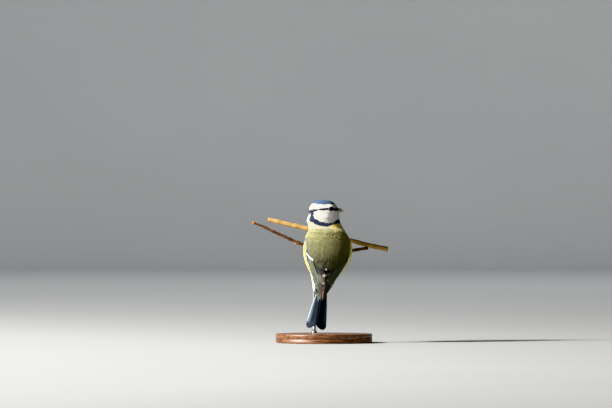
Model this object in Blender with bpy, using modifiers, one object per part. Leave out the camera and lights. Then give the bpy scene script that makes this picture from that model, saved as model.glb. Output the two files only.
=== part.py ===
"""A life-size blue tit clinging to a cut twig, held over a flat base by one rod.

The bird faces +Y with its back to -Y. Its right side is +X, and its head is turned to its right.
Profiles below are in millimetres, and MM turns them into metres as the meshes are made.
"""

import math
from collections import namedtuple

import bmesh
import bpy
from mathutils import Matrix, Vector

MM = 0.001
GAP = 0.3

# Stand
BASE_RADIUS = 42.0
BASE_HEIGHT = 8.0
BASE_EDGE = 1.2
ROD_RADIUS = 1.5
ROD_X = -8.5
CRADLE_RADIUS = 2.9
CRADLE_LENGTH = 6.0
CRADLE_OPENING = 3.2
BASE_SEGMENTS = 48
ROD_SEGMENTS = 20
OPENING_SEGMENTS = 12

# Whole bird: level is the height at which a body section's centre lies
TAIL_TIP_LEVEL = 12.0
RUMP_LEVEL = 46.0
NECK_LOW_LEVEL = 97.5
NECK_HIGH_LEVEL = 104.5
HEAD_EQUATOR = 112.0
CROWN_LEVEL = 124.8
CROWN_POWER = 2.3
HEAD_TURN = math.radians(12.0)
LEAN = math.radians(20.0)
BODY_SEGMENTS = 32
NECK_ROWS = 3
TORSO_ROWS = 16
HEAD_ROWS, HEAD_LOW_ROWS = 10, 3

# Body profiles: (level, value) knots that a smooth curve joins
CENTRE_X = (
    (30, -3.8), (36, -2.3), (46, -1.0), (54, 0.2), (62, 1.8), (72, 2.9),
    (84, 3.3), (94, 2.6), (101, 1.3), (106, -0.3), (112, 0.3), (124.8, -0.4),
)
CENTRE_Y = (
    (30, -15.9), (36, -14.6), (46, -11.2), (55, -8.1), (70, -2.6), (78, 0.3),
    (86, 3.2), (94, 6.0), (101, 7.6), (106, 8.0), (124.8, 8.0),
)
LEFT = (
    (30, 2.2), (36, 4.6), (46, 7.7), (54, 9.6), (62, 13.6), (70, 18.2), (78, 20.4),
    (86, 20.6), (94, 18.2), (99, 15.3), (103, 14.5), (106.5, 14.7), (110, 14.0), (112, 13.2),
)
RIGHT = (
    (30, 2.0), (36, 3.4), (46, 6.0), (54, 9.0), (62, 13.6), (70, 18.2), (78, 20.5),
    (86, 20.5), (94, 18.0), (99, 15.8), (103, 14.6), (107, 14.3), (112, 13.0),
)
BACK = (
    (30, -0.6), (36, 1.3), (46, 5.2), (55, 9.4), (62, 12.4), (70, 15.3),
    (78, 16.6), (86, 16.4), (94, 15.2), (100, 12.8), (104, 11.6), (109, 11.9), (112, 11.4),
)
FRONT = (
    (30, 2.0), (36, 4.0), (46, 7.6), (55, 12.6), (62, 16.3), (70, 19.3),
    (78, 20.5), (86, 20.0), (94, 16.8), (100, 13.2), (104, 11.7), (109, 11.9), (112, 11.4),
)

# Feathers: outlines are (share of the length, share of the half width)
VANE_THICKNESS = 0.5
SHAFT_RIDGE = 0.14
POINTED = ((0.0, 0.5), (0.25, 0.88), (0.55, 1.0), (0.82, 0.78), (1.0, 0.2))
ROUNDED = ((0.0, 0.6), (0.4, 0.96), (0.78, 0.94), (1.0, 0.42))
STEERING = ((0.0, 0.5), (0.35, 0.82), (0.72, 1.0), (0.94, 0.9), (1.0, 0.4))

# Tail: six feathers a side, the middle pair on top
TAIL_ROOT = Vector((-1.7, -11.2, 46.0))
TAIL_TIP = Vector((-7.4, -23.4, TAIL_TIP_LEVEL))
TAIL_COVERTS_LEVEL = 31.0
TAIL_FEATHERS = 6
TAIL_LENGTHS = (0.968, 0.982, 0.992, 1.0, 0.994, 0.976)
TAIL_HALF_WIDTH = 2.7
TAIL_ROOT_OFFSET, TAIL_ROOT_STEP = 0.7, 0.3
TAIL_TIP_OFFSET, TAIL_TIP_STEP = 2.2, 0.6
TAIL_LAYER = 0.32
TAIL_SINK = 3.0
TAIL_ROOF = math.radians(16.0)
TAIL_COVERT_ROWS, TAIL_COVERT_SEGMENTS = 7, 20

# Folded wing: angles, in degrees, rise from the side of the body towards the middle of the back
WING_LIFT = 0.35
WING_MIDLINE = 0.24
MIDLINE_STEP = 0.04
MIDLINE_FAN = 0.03
CORE_LEVELS = (93.0, 64.0)
CORE_ROWS, CORE_ACROSS = 8, 4
CORE_EDGE, CORE_EDGE_SHARE = 0.5, 0.15
CORE_OUTER = ((64, 27), (70, 27), (78, 26), (86, 21), (93, 17))
CORE_INNER = ((64, 78), (70, 74), (78, 58), (86, 44), (93, 34))
CORE_THICKNESS = ((64, 0.6), (70, 1.3), (80, 1.6), (88, 1.15), (93, 0.6))

# Each tier runs from its outermost feather (share 0) to its innermost (share 1)
Tier = namedtuple("Tier", "count root_level root_angle tip_level tip_angle bow width lift tilt outline")
WING_TIERS = (
    Tier(7, ((0, 72), (1, 68)), ((0, 31), (1, 56)), ((0, 41), (0.25, 37.5), (0.6, 41.5), (1, 49)),
         ((0, 51), (0.25, 68), (0.6, 79), (1, 83)), 2.0, 3.6, (0.35, 0.5), 0.45, POINTED),
    Tier(5, ((0, 73), (1, 69)), ((0, 36), (1, 60)), ((0, 52.5), (0.5, 50.5), (1, 53)),
         ((0, 45), (1, 80)), 1.6, 4.0, (0.85, 1.1), 0.6, ROUNDED),
    Tier(3, ((0, 74), (1, 72)), ((0, 62), (1, 77)), ((0, 49.5), (1, 60.5)),
         ((0, 82), (1, 84)), 1.5, 5.2, (1.4, 1.9), 0.6, ROUNDED),
    Tier(3, ((0, 87), (1, 84)), ((0, 24), (1, 30)), ((0, 66), (1, 71)),
         ((0, 29), (1, 35)), 1.0, 3.2, (1.05, 1.5), 0.5, POINTED),
    Tier(7, ((0, 88), (1, 80)), ((0, 29), (1, 62)), ((0, 75), (1, 65)),
         ((0, 34), (1, 64)), 1.0, 4.2, (1.35, 1.85), 0.5, ROUNDED),
    Tier(5, ((0, 93), (1, 87)), ((0, 24), (1, 46)), ((0, 82), (1, 76)),
         ((0, 28), (1, 52)), 1.0, 4.6, (1.15, 1.75), 0.5, ROUNDED),
)

# Head
EYE_RADIUS = 2.8
EYE_OPENING = 1.95
EYE_SINK = math.sqrt(EYE_RADIUS**2 - EYE_OPENING**2)
EYE_LEVEL = 116.5
EYE_ANGLE = math.radians(72.0)
EYE_SEGMENTS, SOCKET_SEGMENTS = 16, 20
LID_RADIUS = 0.36
LID_OFFSET = 0.7
LID_AROUND, LID_SIDES = 18, 6
BILL_LENGTH = 5.4
BILL_ROOT = 2.5
BILL_LEVEL = 115.0
BILL_DROOP = math.radians(6.0)
BILL_DEPTH = 3.9
BILL_WIDTH = 3.9
BILL_STATIONS, BILL_SIDES = 7, 14
BILL_POINT, BILL_FULLNESS, BILL_NARROWING = 1.7, 0.8, 1.15
BILL_TIP_DROP = 0.35
MOUTH_HEIGHT = -0.35
MOUTH_BLOCK = 6.0
NOSTRIL_RADIUS = 0.34
NOSTRIL_AHEAD, NOSTRIL_ASIDE, NOSTRIL_ABOVE = 1.4, 1.45, 0.75
NOSTRIL_SEGMENTS = 8

# Twigs: points along each, and their radii
MAIN_TWIG = (
    (-48.7, 31.5, 107.2), (-38.3, 31.0, 104.8), (-14.2, 30.5, 99.0), (5.2, 30.5, 93.6),
    (24.4, 30.0, 88.6), (41.8, 29.5, 84.0), (56.0, 28.7, 81.2),
)
MAIN_TWIG_RADII = (1.8, 1.8, 1.85, 1.9, 1.9, 2.0, 2.1)
SIDE_TWIG = (
    (-60.0, 29.6, 103.6), (-53.9, 29.0, 101.4), (-38.3, 28.0, 93.9), (-18.0, 27.0, 85.2),
    (2.6, 26.6, 79.4), (13.9, 26.8, 78.8), (24.0, 27.4, 79.9), (33.0, 28.2, 81.4), (38.6, 28.8, 82.2),
)
SIDE_TWIG_RADII = (0.8, 1.0, 1.15, 1.2, 1.25, 1.25, 1.3, 1.35, 1.4)
MAIN_TWIG_SIDES, SIDE_TWIG_SIDES = 10, 8
TWIG_STEP = 5.0

# Buds on the side twig (X, upward lean) and leaf scars on the main twig
BUD_LENGTH = 3.6
BUD_RADIUS = 1.05
BUD_SWELL = (0.75, 1.0, 0.85, 0.5, 0.12)
SIDE_BUDS = ((-59.6, 0.1), (-23.0, -0.9), (-44.0, 0.9))
KNOT_HALF_LENGTH = 2.4
KNOT_SWELL = ((-1.0, 0.9), (-0.2, 1.12), (0.3, 1.12), (1.0, 0.9))
MAIN_KNOTS = (-41.0, -25.0, 29.0)

# Legs
FOOT_X = {"left": -2.2, "right": 9.0}
HIP_X = {"left": -3.2, "right": 5.8}
HIP_Y, HIP_Z = -2.0, 58.0
HEEL_Y, HEEL_Z = 18.4, 63.6
HEEL_SHARE = 0.6
THIGH_SAG = 2.2
THIGH_RADII = (5.4, 5.8, 5.6, 4.6, 2.9, 1.1)
THIGH_SIDES = 12
THIGH_CUT_LOW, THIGH_CUT_HIGH = 47.0, 90.0
THIGH_CUT_ROWS, THIGH_CUT_SEGMENTS = 14, 28
TARSUS_RADIUS = 0.75
TOE_RADIUS = 0.56
TOE_CURL = 0.1
CLAW_RADIUS = 0.3
FOOT_SIDES, TOE_SIDES = 8, 6
FOOT_SHARES = (0.95, 1.15, 0.9, 1.1, 0.75)
FOOT_GRIP_ANGLE = 0.35
TOE_CLEARANCE = 0.42
FRONT_TOE_SPREAD = 2.7
FRONT_TOE_START, FRONT_TOE_STEPS, FRONT_CLAW_SHARE = -0.2, 9, 0.22
FRONT_TOE_ENDS = ((-1, 3.5), (0, 3.2), (1, 3.4))
HIND_TOE_START, HIND_TOE_END, HIND_TOE_SPREAD = 0.25, -2.35, 0.15
HIND_TOE_STEPS, HIND_CLAW_SHARE, HIND_TOE_SCALE = 7, 0.35, 1.1

SIDES = ("left", "right")

COLOURS = {
    "crown": (0.10, 0.22, 0.48),
    "mantle": (0.36, 0.38, 0.16),
    "wing": (0.14, 0.26, 0.42),
    "tail": (0.10, 0.22, 0.36),
    "bill": (0.05, 0.05, 0.06),
    "eye": (0.01, 0.008, 0.006),
    "leg": (0.13, 0.16, 0.21),
    "bark": (0.42, 0.30, 0.16),
    "dark_bark": (0.16, 0.10, 0.06),
    "wood": (0.20, 0.11, 0.06),
    "steel": (0.55, 0.55, 0.56),
}

# Roughness and metallic values
PLAIN_FINISH = (0.6, 0.0)
FINISHES = {"steel": (0.6, 1.0), "eye": (0.05, 0.0)}
SHARP_ANGLE = math.radians(40.0)


def clear_scene():
    for obj in list(bpy.data.objects):
        bpy.data.objects.remove(obj, do_unlink=True)


def new_collection(name):
    collection = bpy.data.collections.new(name)
    bpy.context.scene.collection.children.link(collection)
    return collection


def make_material(name):
    roughness, metallic = FINISHES.get(name, PLAIN_FINISH)
    material = bpy.data.materials.new(name)
    material.use_nodes = True
    shader = material.node_tree.nodes["Principled BSDF"]
    shader.inputs["Base Color"].default_value = (*COLOURS[name], 1.0)
    shader.inputs["Roughness"].default_value = roughness
    shader.inputs["Metallic"].default_value = metallic
    return material


def smooth_value(knots, level):
    """The value at a level on a smooth curve through the knots (cubic Hermite with chord slopes)."""
    if level <= knots[0][0]:
        return knots[0][1]
    if level >= knots[-1][0]:
        return knots[-1][1]
    place = next(i for i in range(len(knots) - 1) if knots[i + 1][0] >= level)

    def slope(i):
        before, after = knots[max(i - 1, 0)], knots[min(i + 1, len(knots) - 1)]
        return (after[1] - before[1]) / (after[0] - before[0])

    (low, low_value), (high, high_value) = knots[place], knots[place + 1]
    width = high - low
    t = (level - low) / width
    return (
        low_value * (2 * t**3 - 3 * t**2 + 1)
        + slope(place) * width * (t**3 - 2 * t**2 + t)
        + high_value * (3 * t**2 - 2 * t**3)
        + slope(place + 1) * width * (t**3 - t**2)
    )


def mix(a, b, t):
    return a + (b - a) * t


def ease(t):
    t = min(max(t, 0.0), 1.0)
    return t * t * (3 - 2 * t)


def crown_taper(level):
    """How far the head's outline has closed in above its equator."""
    rise = (level - HEAD_EQUATOR) / (CROWN_LEVEL - HEAD_EQUATOR)
    if rise <= 0:
        return 1.0
    return max(1.0 - min(rise, 1.0) ** CROWN_POWER, 0.0) ** (1 / CROWN_POWER)


def body_point(level, angle):
    """A point of the plumage outline. Angle 0 is the right side and 90 degrees the back."""
    taper = crown_taper(level)
    head = ease((level - 98.0) / 10.0)
    lean = LEAN * (1 - ease((level - 88.0) / 16.0))
    turn = HEAD_TURN * head
    right = Vector((math.cos(turn), math.sin(turn), 0.0))
    back = Vector((math.sin(turn) * math.cos(lean), -math.cos(turn) * math.cos(lean), math.sin(lean)))
    across, along = math.cos(angle), math.sin(angle)
    side = smooth_value(RIGHT if across >= 0 else LEFT, level)
    depth = smooth_value(BACK if along >= 0 else FRONT, level)
    centre = Vector((smooth_value(CENTRE_X, level), smooth_value(CENTRE_Y, level), level))
    return centre + taper * (side * across * right + depth * along * back)


def surface_point(level, angle, lift=0.0):
    """A point lifted off the plumage outline along its normal."""
    point = body_point(level, angle)
    if lift == 0.0:
        return point
    step_level, step_angle = 0.25, 0.02
    up = body_point(level + step_level, angle) - body_point(level - step_level, angle)
    round_ = body_point(level, angle + step_angle) - body_point(level, angle - step_angle)
    return point + up.cross(round_).normalized() * lift


def girth_per_radian(level, angle):
    step = 0.05
    return (body_point(level, angle + step) - body_point(level, angle - step)).length / (2 * step)


def finish_object(name, mesh, material, collection):
    obj = bpy.data.objects.new(name, mesh)
    collection.objects.link(obj)
    mesh.materials.clear()
    mesh.materials.append(material)
    mesh.shade_smooth()
    mesh.set_sharp_from_angle(angle=SHARP_ANGLE)
    return obj


def mesh_from(name, points, faces):
    """A closed mesh in metres from points in millimetres, its faces turned outwards."""
    work = bmesh.new()
    made = [work.verts.new(Vector(p) * MM) for p in points]
    for face in faces:
        work.faces.new([made[i] for i in face])
    bmesh.ops.recalc_face_normals(work, faces=work.faces)
    mesh = bpy.data.meshes.new(name)
    work.to_mesh(mesh)
    work.free()
    return mesh


def loft(name, rings, material, collection, pole=None):
    """A closed skin over rings of points, flat at its first ring and flat or pointed at its last."""
    count = len(rings[0])
    points = [p for ring in rings for p in ring]
    faces = [tuple(reversed(range(count)))]
    for row in range(len(rings) - 1):
        for i in range(count):
            j = (i + 1) % count
            low, high = row * count, (row + 1) * count
            faces.append((low + i, low + j, high + j, high + i))
    last = (len(rings) - 1) * count
    if pole is None:
        faces.append(tuple(last + i for i in range(count)))
    else:
        points.append(pole)
        faces += [(last + i, last + (i + 1) % count, len(points) - 1) for i in range(count)]
    return finish_object(name, mesh_from(name, points, faces), material, collection)


def plate(name, rows, material, collection):
    """A thin closed plate. Each row holds (inner point, outer point) pairs, split alike on both faces."""
    across = len(rows[0])
    inner = [pair[0] for row in rows for pair in row]
    outer = [pair[1] for row in rows for pair in row]
    shift = len(inner)
    faces = []
    for r in range(len(rows) - 1):
        for c in range(across - 1):
            a, b = r * across + c, r * across + c + 1
            d, e = a + across, b + across
            for face in ((a, b, e), (a, e, d)):
                faces.append(tuple(i + shift for i in face))
                faces.append(tuple(reversed(face)))
    rim = list(range(across))
    rim += [r * across + across - 1 for r in range(1, len(rows))]
    rim += [(len(rows) - 1) * across + c for c in range(across - 2, -1, -1)]
    rim += [r * across for r in range(len(rows) - 2, 0, -1)]
    for i, j in zip(rim, rim[1:] + rim[:1]):
        faces.append((i, j, j + shift))
        faces.append((i, j + shift, i + shift))
    return finish_object(name, mesh_from(name, inner + outer, faces), material, collection)


def tube(name, points, radii, sides, material, collection):
    """A round tapered tube along points, closed by flat caps."""
    curve = bpy.data.curves.new(name, "CURVE")
    curve.dimensions = "3D"
    curve.bevel_depth = MM
    curve.bevel_resolution = (sides - 4) // 2
    curve.use_fill_caps = True
    spline = curve.splines.new("POLY")
    spline.points.add(len(points) - 1)
    for knot, point, radius in zip(spline.points, points, radii):
        knot.co = (*(Vector(point) * MM), 1.0)
        knot.radius = radius
    source = bpy.data.objects.new(name + "_path", curve)
    collection.objects.link(source)
    graph = bpy.context.evaluated_depsgraph_get()
    mesh = bpy.data.meshes.new_from_object(source.evaluated_get(graph))
    bpy.data.objects.remove(source, do_unlink=True)
    work = bmesh.new()
    work.from_mesh(mesh)
    bmesh.ops.remove_doubles(work, verts=work.verts, dist=0.01 * MM)
    bmesh.ops.recalc_face_normals(work, faces=work.faces)
    work.to_mesh(mesh)
    work.free()
    return finish_object(name, mesh, material, collection)


def ball(name, centre, radius, segments, material, collection):
    work = bmesh.new()
    bmesh.ops.create_uvsphere(work, u_segments=segments, v_segments=segments // 2, radius=radius * MM)
    bmesh.ops.translate(work, verts=work.verts, vec=Vector(centre) * MM)
    mesh = bpy.data.meshes.new(name)
    work.to_mesh(mesh)
    work.free()
    return finish_object(name, mesh, material, collection)


def rod(name, low, high, radius, segments, material, collection):
    """A straight cylinder between two points."""
    low, high = Vector(low), Vector(high)
    direction = high - low
    turn = direction.to_track_quat("Z", "Y").to_matrix().to_4x4()
    work = bmesh.new()
    bmesh.ops.create_cone(
        work,
        cap_ends=True,
        segments=segments,
        radius1=radius * MM,
        radius2=radius * MM,
        depth=direction.length * MM,
    )
    bmesh.ops.transform(work, verts=work.verts, matrix=Matrix.Translation((low + high) / 2 * MM) @ turn)
    mesh = bpy.data.meshes.new(name)
    work.to_mesh(mesh)
    work.free()
    return finish_object(name, mesh, material, collection)


def keep_largest(mesh):
    """Drops every closed surface but the largest."""
    work = bmesh.new()
    work.from_mesh(mesh)
    left, shells = set(work.verts), []
    while left:
        stack, shell = [left.pop()], set()
        while stack:
            vertex = stack.pop()
            shell.add(vertex)
            for edge in vertex.link_edges:
                other = edge.other_vert(vertex)
                if other in left:
                    left.remove(other)
                    stack.append(other)
        shells.append(shell)

    def spread(shell):
        low = [min(v.co[i] for v in shell) for i in range(3)]
        high = [max(v.co[i] for v in shell) for i in range(3)]
        return sum(high[i] - low[i] for i in range(3))

    largest = max(shells, key=spread)
    bmesh.ops.delete(work, geom=[v for v in work.verts if v not in largest], context="VERTS")
    work.to_mesh(mesh)
    work.free()


def combine(obj, others, operation, solver="MANIFOLD"):
    """Applies one Boolean of obj with several meshes, then removes those meshes."""
    group = bpy.data.collections.new("operands")
    bpy.context.scene.collection.children.link(group)
    for other in others:
        for owner in list(other.users_collection):
            owner.objects.unlink(other)
        group.objects.link(other)
    modifier = obj.modifiers.new("combine", "BOOLEAN")
    modifier.operation = operation
    modifier.operand_type = "COLLECTION"
    modifier.collection = group
    modifier.solver = solver
    bpy.context.view_layer.update()
    graph = bpy.context.evaluated_depsgraph_get()
    mesh = bpy.data.meshes.new_from_object(obj.evaluated_get(graph))
    obj.modifiers.clear()
    material = obj.data.materials[0]
    obj.data = mesh
    for other in others:
        bpy.data.objects.remove(other, do_unlink=True)
    bpy.data.collections.remove(group)
    keep_largest(mesh)
    mesh.name = obj.name
    mesh.materials.clear()
    mesh.materials.append(material)
    mesh.shade_smooth()
    mesh.set_sharp_from_angle(angle=SHARP_ANGLE)
    return obj


def smooth_path(points, step):
    """Points a step apart on a smooth curve through a path's own points."""
    points = [Vector(p) for p in points]
    found = []
    for i in range(len(points) - 1):
        before, after = points[max(i - 1, 0)], points[min(i + 2, len(points) - 1)]
        start, end = points[i], points[i + 1]
        count = max(1, round((end - start).length / step))
        for k in range(count):
            t = k / count
            found.append(
                0.5
                * (
                    2 * start
                    + (end - before) * t
                    + (2 * before - 5 * start + 4 * end - after) * t**2
                    + (3 * start - before - 3 * end + after) * t**3
                )
            )
    return found + [points[-1]]


def radii_along(path, knots, radii):
    """A radius for each path point, read from the radii at the knots by X."""
    pairs = [(knot[0], radius) for knot, radius in zip(knots, radii)]
    return [smooth_value(pairs, point.x) for point in path]


def section_ring(level, count, lift=0.0):
    return [surface_point(level, 2 * math.pi * i / count, lift) for i in range(count)]


def body_piece(name, low, high, rows, count, material, collection, lift=0.0):
    """The plumage outline between two levels."""
    rings = [section_ring(mix(low, high, r / rows), count, lift) for r in range(rows + 1)]
    return loft(name, rings, material, collection)


def head_levels(low):
    """Levels that crowd towards the crown, where the outline closes in."""
    rise = CROWN_LEVEL - HEAD_EQUATOR
    levels = [mix(low, HEAD_EQUATOR, r / HEAD_LOW_ROWS) for r in range(HEAD_LOW_ROWS)]
    for r in range(HEAD_ROWS):
        angle = 0.5 * math.pi * r / HEAD_ROWS
        levels.append(HEAD_EQUATOR + rise * math.sin(angle) ** (2 / CROWN_POWER))
    return levels


def head_shape(name, low, material, collection, lift=0.0):
    rings = [section_ring(level, BODY_SEGMENTS, lift) for level in head_levels(low)]
    crown = body_point(CROWN_LEVEL, 0.0) + Vector((0, 0, lift))
    return loft(name, rings, material, collection, pole=crown)


def eye_frame(side):
    """The eye's place on the head's surface and the way it faces."""
    angle = EYE_ANGLE if side == "right" else -EYE_ANGLE
    surface = surface_point(EYE_LEVEL, angle)
    outward = (surface_point(EYE_LEVEL, angle, 1.0) - surface).normalized()
    return surface, outward


def make_head(materials, part):
    head = head_shape("head", NECK_HIGH_LEVEL + GAP / 2, materials["crown"], part)
    sockets, lids = [], []
    for side in SIDES:
        surface, outward = eye_frame(side)
        centre = surface - outward * EYE_SINK
        ball("eye_" + side, centre, EYE_RADIUS, EYE_SEGMENTS, materials["eye"], part)
        socket = ball("socket", centre, EYE_RADIUS + GAP, SOCKET_SEGMENTS, materials["eye"], part)
        sockets.append(socket)
        lids.append(lid_ring(surface, outward, materials["crown"], part))
    combine(head, lids, "UNION")
    combine(head, sockets, "DIFFERENCE")
    return head


def lid_ring(surface, outward, material, part):
    """The bare rim of the lids, a ring laid round the eye's opening."""
    turn = outward.to_track_quat("Z", "Y").to_matrix()
    rings = []
    for i in range(LID_AROUND):
        angle = 2 * math.pi * i / LID_AROUND
        ray = Vector((math.cos(angle), math.sin(angle), 0.0))
        ring = []
        for k in range(LID_SIDES):
            roll = 2 * math.pi * k / LID_SIDES
            out = ray * (EYE_OPENING + GAP + LID_RADIUS * (LID_OFFSET + math.cos(roll)))
            ring.append(surface + turn @ (out + Vector((0, 0, LID_RADIUS * math.sin(roll)))))
        rings.append(ring)
    points = [p for ring in rings for p in ring]
    faces = []
    for i in range(LID_AROUND):
        here, next_ = i * LID_SIDES, (i + 1) % LID_AROUND * LID_SIDES
        for k in range(LID_SIDES):
            turn_on = (k + 1) % LID_SIDES
            faces.append((here + k, here + turn_on, next_ + turn_on, next_ + k))
    return finish_object("lid", mesh_from("lid", points, faces), material, part)


def bill_frame():
    """The bill's root centre and its forward, left and up directions."""
    turn = HEAD_TURN
    level_forward = Vector((math.cos(turn), math.sin(turn), 0.0))
    left = Vector((-math.sin(turn), math.cos(turn), 0.0))
    forward = (level_forward * math.cos(BILL_DROOP) - Vector((0, 0, 1)) * math.sin(BILL_DROOP)).normalized()
    up = forward.cross(left)
    root = surface_point(BILL_LEVEL, 0.0)
    return root, forward, left, up


def bill_shape(name, materials, part):
    """The closed bill, a short cone with a curved culmen and a finely rounded tip."""
    root, forward, left, up = bill_frame()
    length = BILL_LENGTH + BILL_ROOT
    rings = []
    for i in range(BILL_STATIONS):
        t = i / BILL_STATIONS
        centre = root + forward * (length * t - BILL_ROOT) - up * (BILL_TIP_DROP * t * t)
        scale = (1 - t**BILL_POINT) ** BILL_FULLNESS
        ring = []
        for k in range(BILL_SIDES):
            angle = 2 * math.pi * k / BILL_SIDES
            ring.append(
                centre
                + left * (0.5 * BILL_WIDTH * scale**BILL_NARROWING * math.cos(angle))
                + up * (0.5 * BILL_DEPTH * scale * math.sin(angle))
            )
        rings.append(ring)
    tip = root + forward * BILL_LENGTH - up * BILL_TIP_DROP
    return loft(name, rings, materials["bill"], part, pole=tip)


def mouth_block(low, high, material, part):
    """A block across the bill between two heights over its middle."""
    root, forward, left, up = bill_frame()
    reach = MOUTH_BLOCK
    points = []
    for height in (low, high):
        for along, across in ((-reach, -reach), (2 * reach, -reach), (2 * reach, reach), (-reach, reach)):
            points.append(root + forward * along + left * across + up * height)
    faces = [(3, 2, 1, 0), (4, 5, 6, 7), (0, 1, 5, 4), (1, 2, 6, 5), (2, 3, 7, 6), (3, 0, 4, 7)]
    return finish_object("cut", mesh_from("cut", points, faces), material, part)


def make_bill(materials, part):
    """Upper and lower bill, parted by the thin gap of the mouth line."""
    root, forward, left, up = bill_frame()
    cuts = {
        "bill_upper": (-MOUTH_BLOCK, MOUTH_HEIGHT + GAP / 2),
        "bill_lower": (MOUTH_HEIGHT - GAP / 2, MOUTH_BLOCK),
    }
    for name, (low, high) in cuts.items():
        piece = bill_shape(name, materials, part)
        cutters = [
            mouth_block(low, high, materials["bill"], part),
            head_shape("inner", NECK_HIGH_LEVEL, materials["bill"], part, lift=GAP),
        ]
        if name == "bill_upper":
            middle = root + forward * NOSTRIL_AHEAD + up * NOSTRIL_ABOVE
            for way in (-1, 1):
                place = middle + left * (way * NOSTRIL_ASIDE)
                pit = ball("nostril", place, NOSTRIL_RADIUS, NOSTRIL_SEGMENTS, materials["bill"], part)
                cutters.append(pit)
        for cutter in cutters:
            combine(piece, [cutter], "DIFFERENCE")


def wing_angle(side, angle_degrees):
    angle = math.radians(angle_degrees)
    return angle if side == "right" else math.pi - angle


def vane(rows, material, part):
    """One feather's blade from rows of three (point, normal) pairs: outer edge, shaft and inner edge."""
    grid = []
    for row in rows:
        pairs = []
        for column, (point, normal) in enumerate(row):
            ridge = SHAFT_RIDGE if column == 1 else 0.0
            pairs.append((point, point + normal * (VANE_THICKNESS + ridge)))
        grid.append(pairs)
    return plate("vane", grid, material, part)


def wing_vane(side, tier, place, material, part):
    """A feather laid along the body: its outer edge shows, and its inner edge slips under the next."""
    share = place / (tier.count - 1)
    root_level, tip_level = smooth_value(tier.root_level, share), smooth_value(tier.tip_level, share)
    root_angle = math.radians(smooth_value(tier.root_angle, share))
    tip_angle = math.radians(smooth_value(tier.tip_angle, share))
    lift = mix(*tier.lift, share)
    rows = []
    for along, width in tier.outline:
        level, angle = mix(root_level, tip_level, along), mix(root_angle, tip_angle, along**tier.bow)
        girth = girth_per_radian(level, angle)
        fall = tip_level - root_level
        swing = (tip_angle - root_angle) * girth * tier.bow * along ** (tier.bow - 1)
        norm = math.hypot(fall, swing)
        half = 0.5 * tier.width * width
        last = 0.5 * math.pi - (WING_MIDLINE + MIDLINE_STEP * place) / girth
        row = []
        for column in (-1, 0, 1):
            at_level = level + column * half * swing / norm
            at_angle = angle - column * half * fall / norm / girth
            at_angle = min(at_angle, last - MIDLINE_FAN * (1 - column))
            degrees = math.degrees(at_angle)
            height = lift + tier.tilt * (0.5 - 0.5 * column * width)
            low = surface_point(at_level, wing_angle(side, degrees), height)
            high = surface_point(at_level, wing_angle(side, degrees), height + 1.0)
            row.append((low, (high - low).normalized()))
        rows.append(row)
    return vane(rows, material, part)


def make_wing(side, materials, part):
    """The folded wing: a core under the coverts, and the feathers in tiers rooted in it."""
    grid = []
    for r in range(CORE_ROWS + 1):
        level = mix(*CORE_LEVELS, r / CORE_ROWS)
        low, high = smooth_value(CORE_OUTER, level), smooth_value(CORE_INNER, level)
        thickness = smooth_value(CORE_THICKNESS, level)
        row = []
        for c in range(CORE_ACROSS + 1):
            share = c / CORE_ACROSS
            angle = wing_angle(side, mix(low, high, share))
            rise = math.sin(math.pi * mix(CORE_EDGE_SHARE, 1 - CORE_EDGE_SHARE, share))
            bulge = CORE_EDGE + (thickness - CORE_EDGE) * rise
            top = surface_point(level, angle, WING_LIFT + bulge)
            row.append((surface_point(level, angle, WING_LIFT), top))
        grid.append(row)
    wing = plate("wing_" + side, grid, materials["wing"], part)
    vanes = []
    for tier in WING_TIERS:
        vanes += [wing_vane(side, tier, place, materials["wing"], part) for place in range(tier.count)]
    combine(wing, vanes, "UNION")


def tail_frame():
    along = (TAIL_TIP - TAIL_ROOT).normalized()
    across = (Vector((1, 0, 0)) - along * along.x).normalized()
    up = along.cross(across).normalized()
    if up.y > 0:
        up = -up
    return along, across, up


def tail_vane(way, place, material, part):
    """A tail feather. Place 0 is the middle pair, and each next one lies under the last."""
    along, across, up = tail_frame()
    length = (TAIL_TIP - TAIL_ROOT).length * TAIL_LENGTHS[place]
    depth = TAIL_LAYER * (place + 0.5 * (way < 0))
    rows = []
    for share, width in STEERING:
        root_offset = TAIL_ROOT_OFFSET + TAIL_ROOT_STEP * place
        tip_offset = TAIL_TIP_OFFSET + TAIL_TIP_STEP * place
        middle = mix(root_offset, tip_offset, share)
        half = TAIL_HALF_WIDTH * width
        row = []
        for column in (1, 0, -1):
            offset = middle + column * half
            drop = depth + offset * math.tan(TAIL_ROOF)
            place_along = mix(TAIL_SINK, length, share)
            row.append((TAIL_ROOT + along * place_along + across * (way * offset) - up * drop, up))
        rows.append(row)
    return vane(rows, material, part)


def make_tail(materials, part):
    """The closed tail: its feathers in a low roof, rooted in the cone of the coverts."""
    top = RUMP_LEVEL - GAP / 2
    size = TAIL_COVERT_ROWS, TAIL_COVERT_SEGMENTS
    tail = body_piece("tail", TAIL_COVERTS_LEVEL, top, *size, materials["tail"], part)
    vanes = []
    for place in range(TAIL_FEATHERS):
        vanes += [tail_vane(way, place, materials["tail"], part) for way in (1, -1)]
    combine(tail, vanes, "UNION")


def twig_at(path, x):
    """The point and direction of a twig's path where it passes X."""
    for start, end in zip(path, path[1:]):
        if start.x <= x <= end.x:
            t = (x - start.x) / (end.x - start.x)
            return start.lerp(end, t), (end - start).normalized()
    raise ValueError("the path doesn't reach this X")


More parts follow.
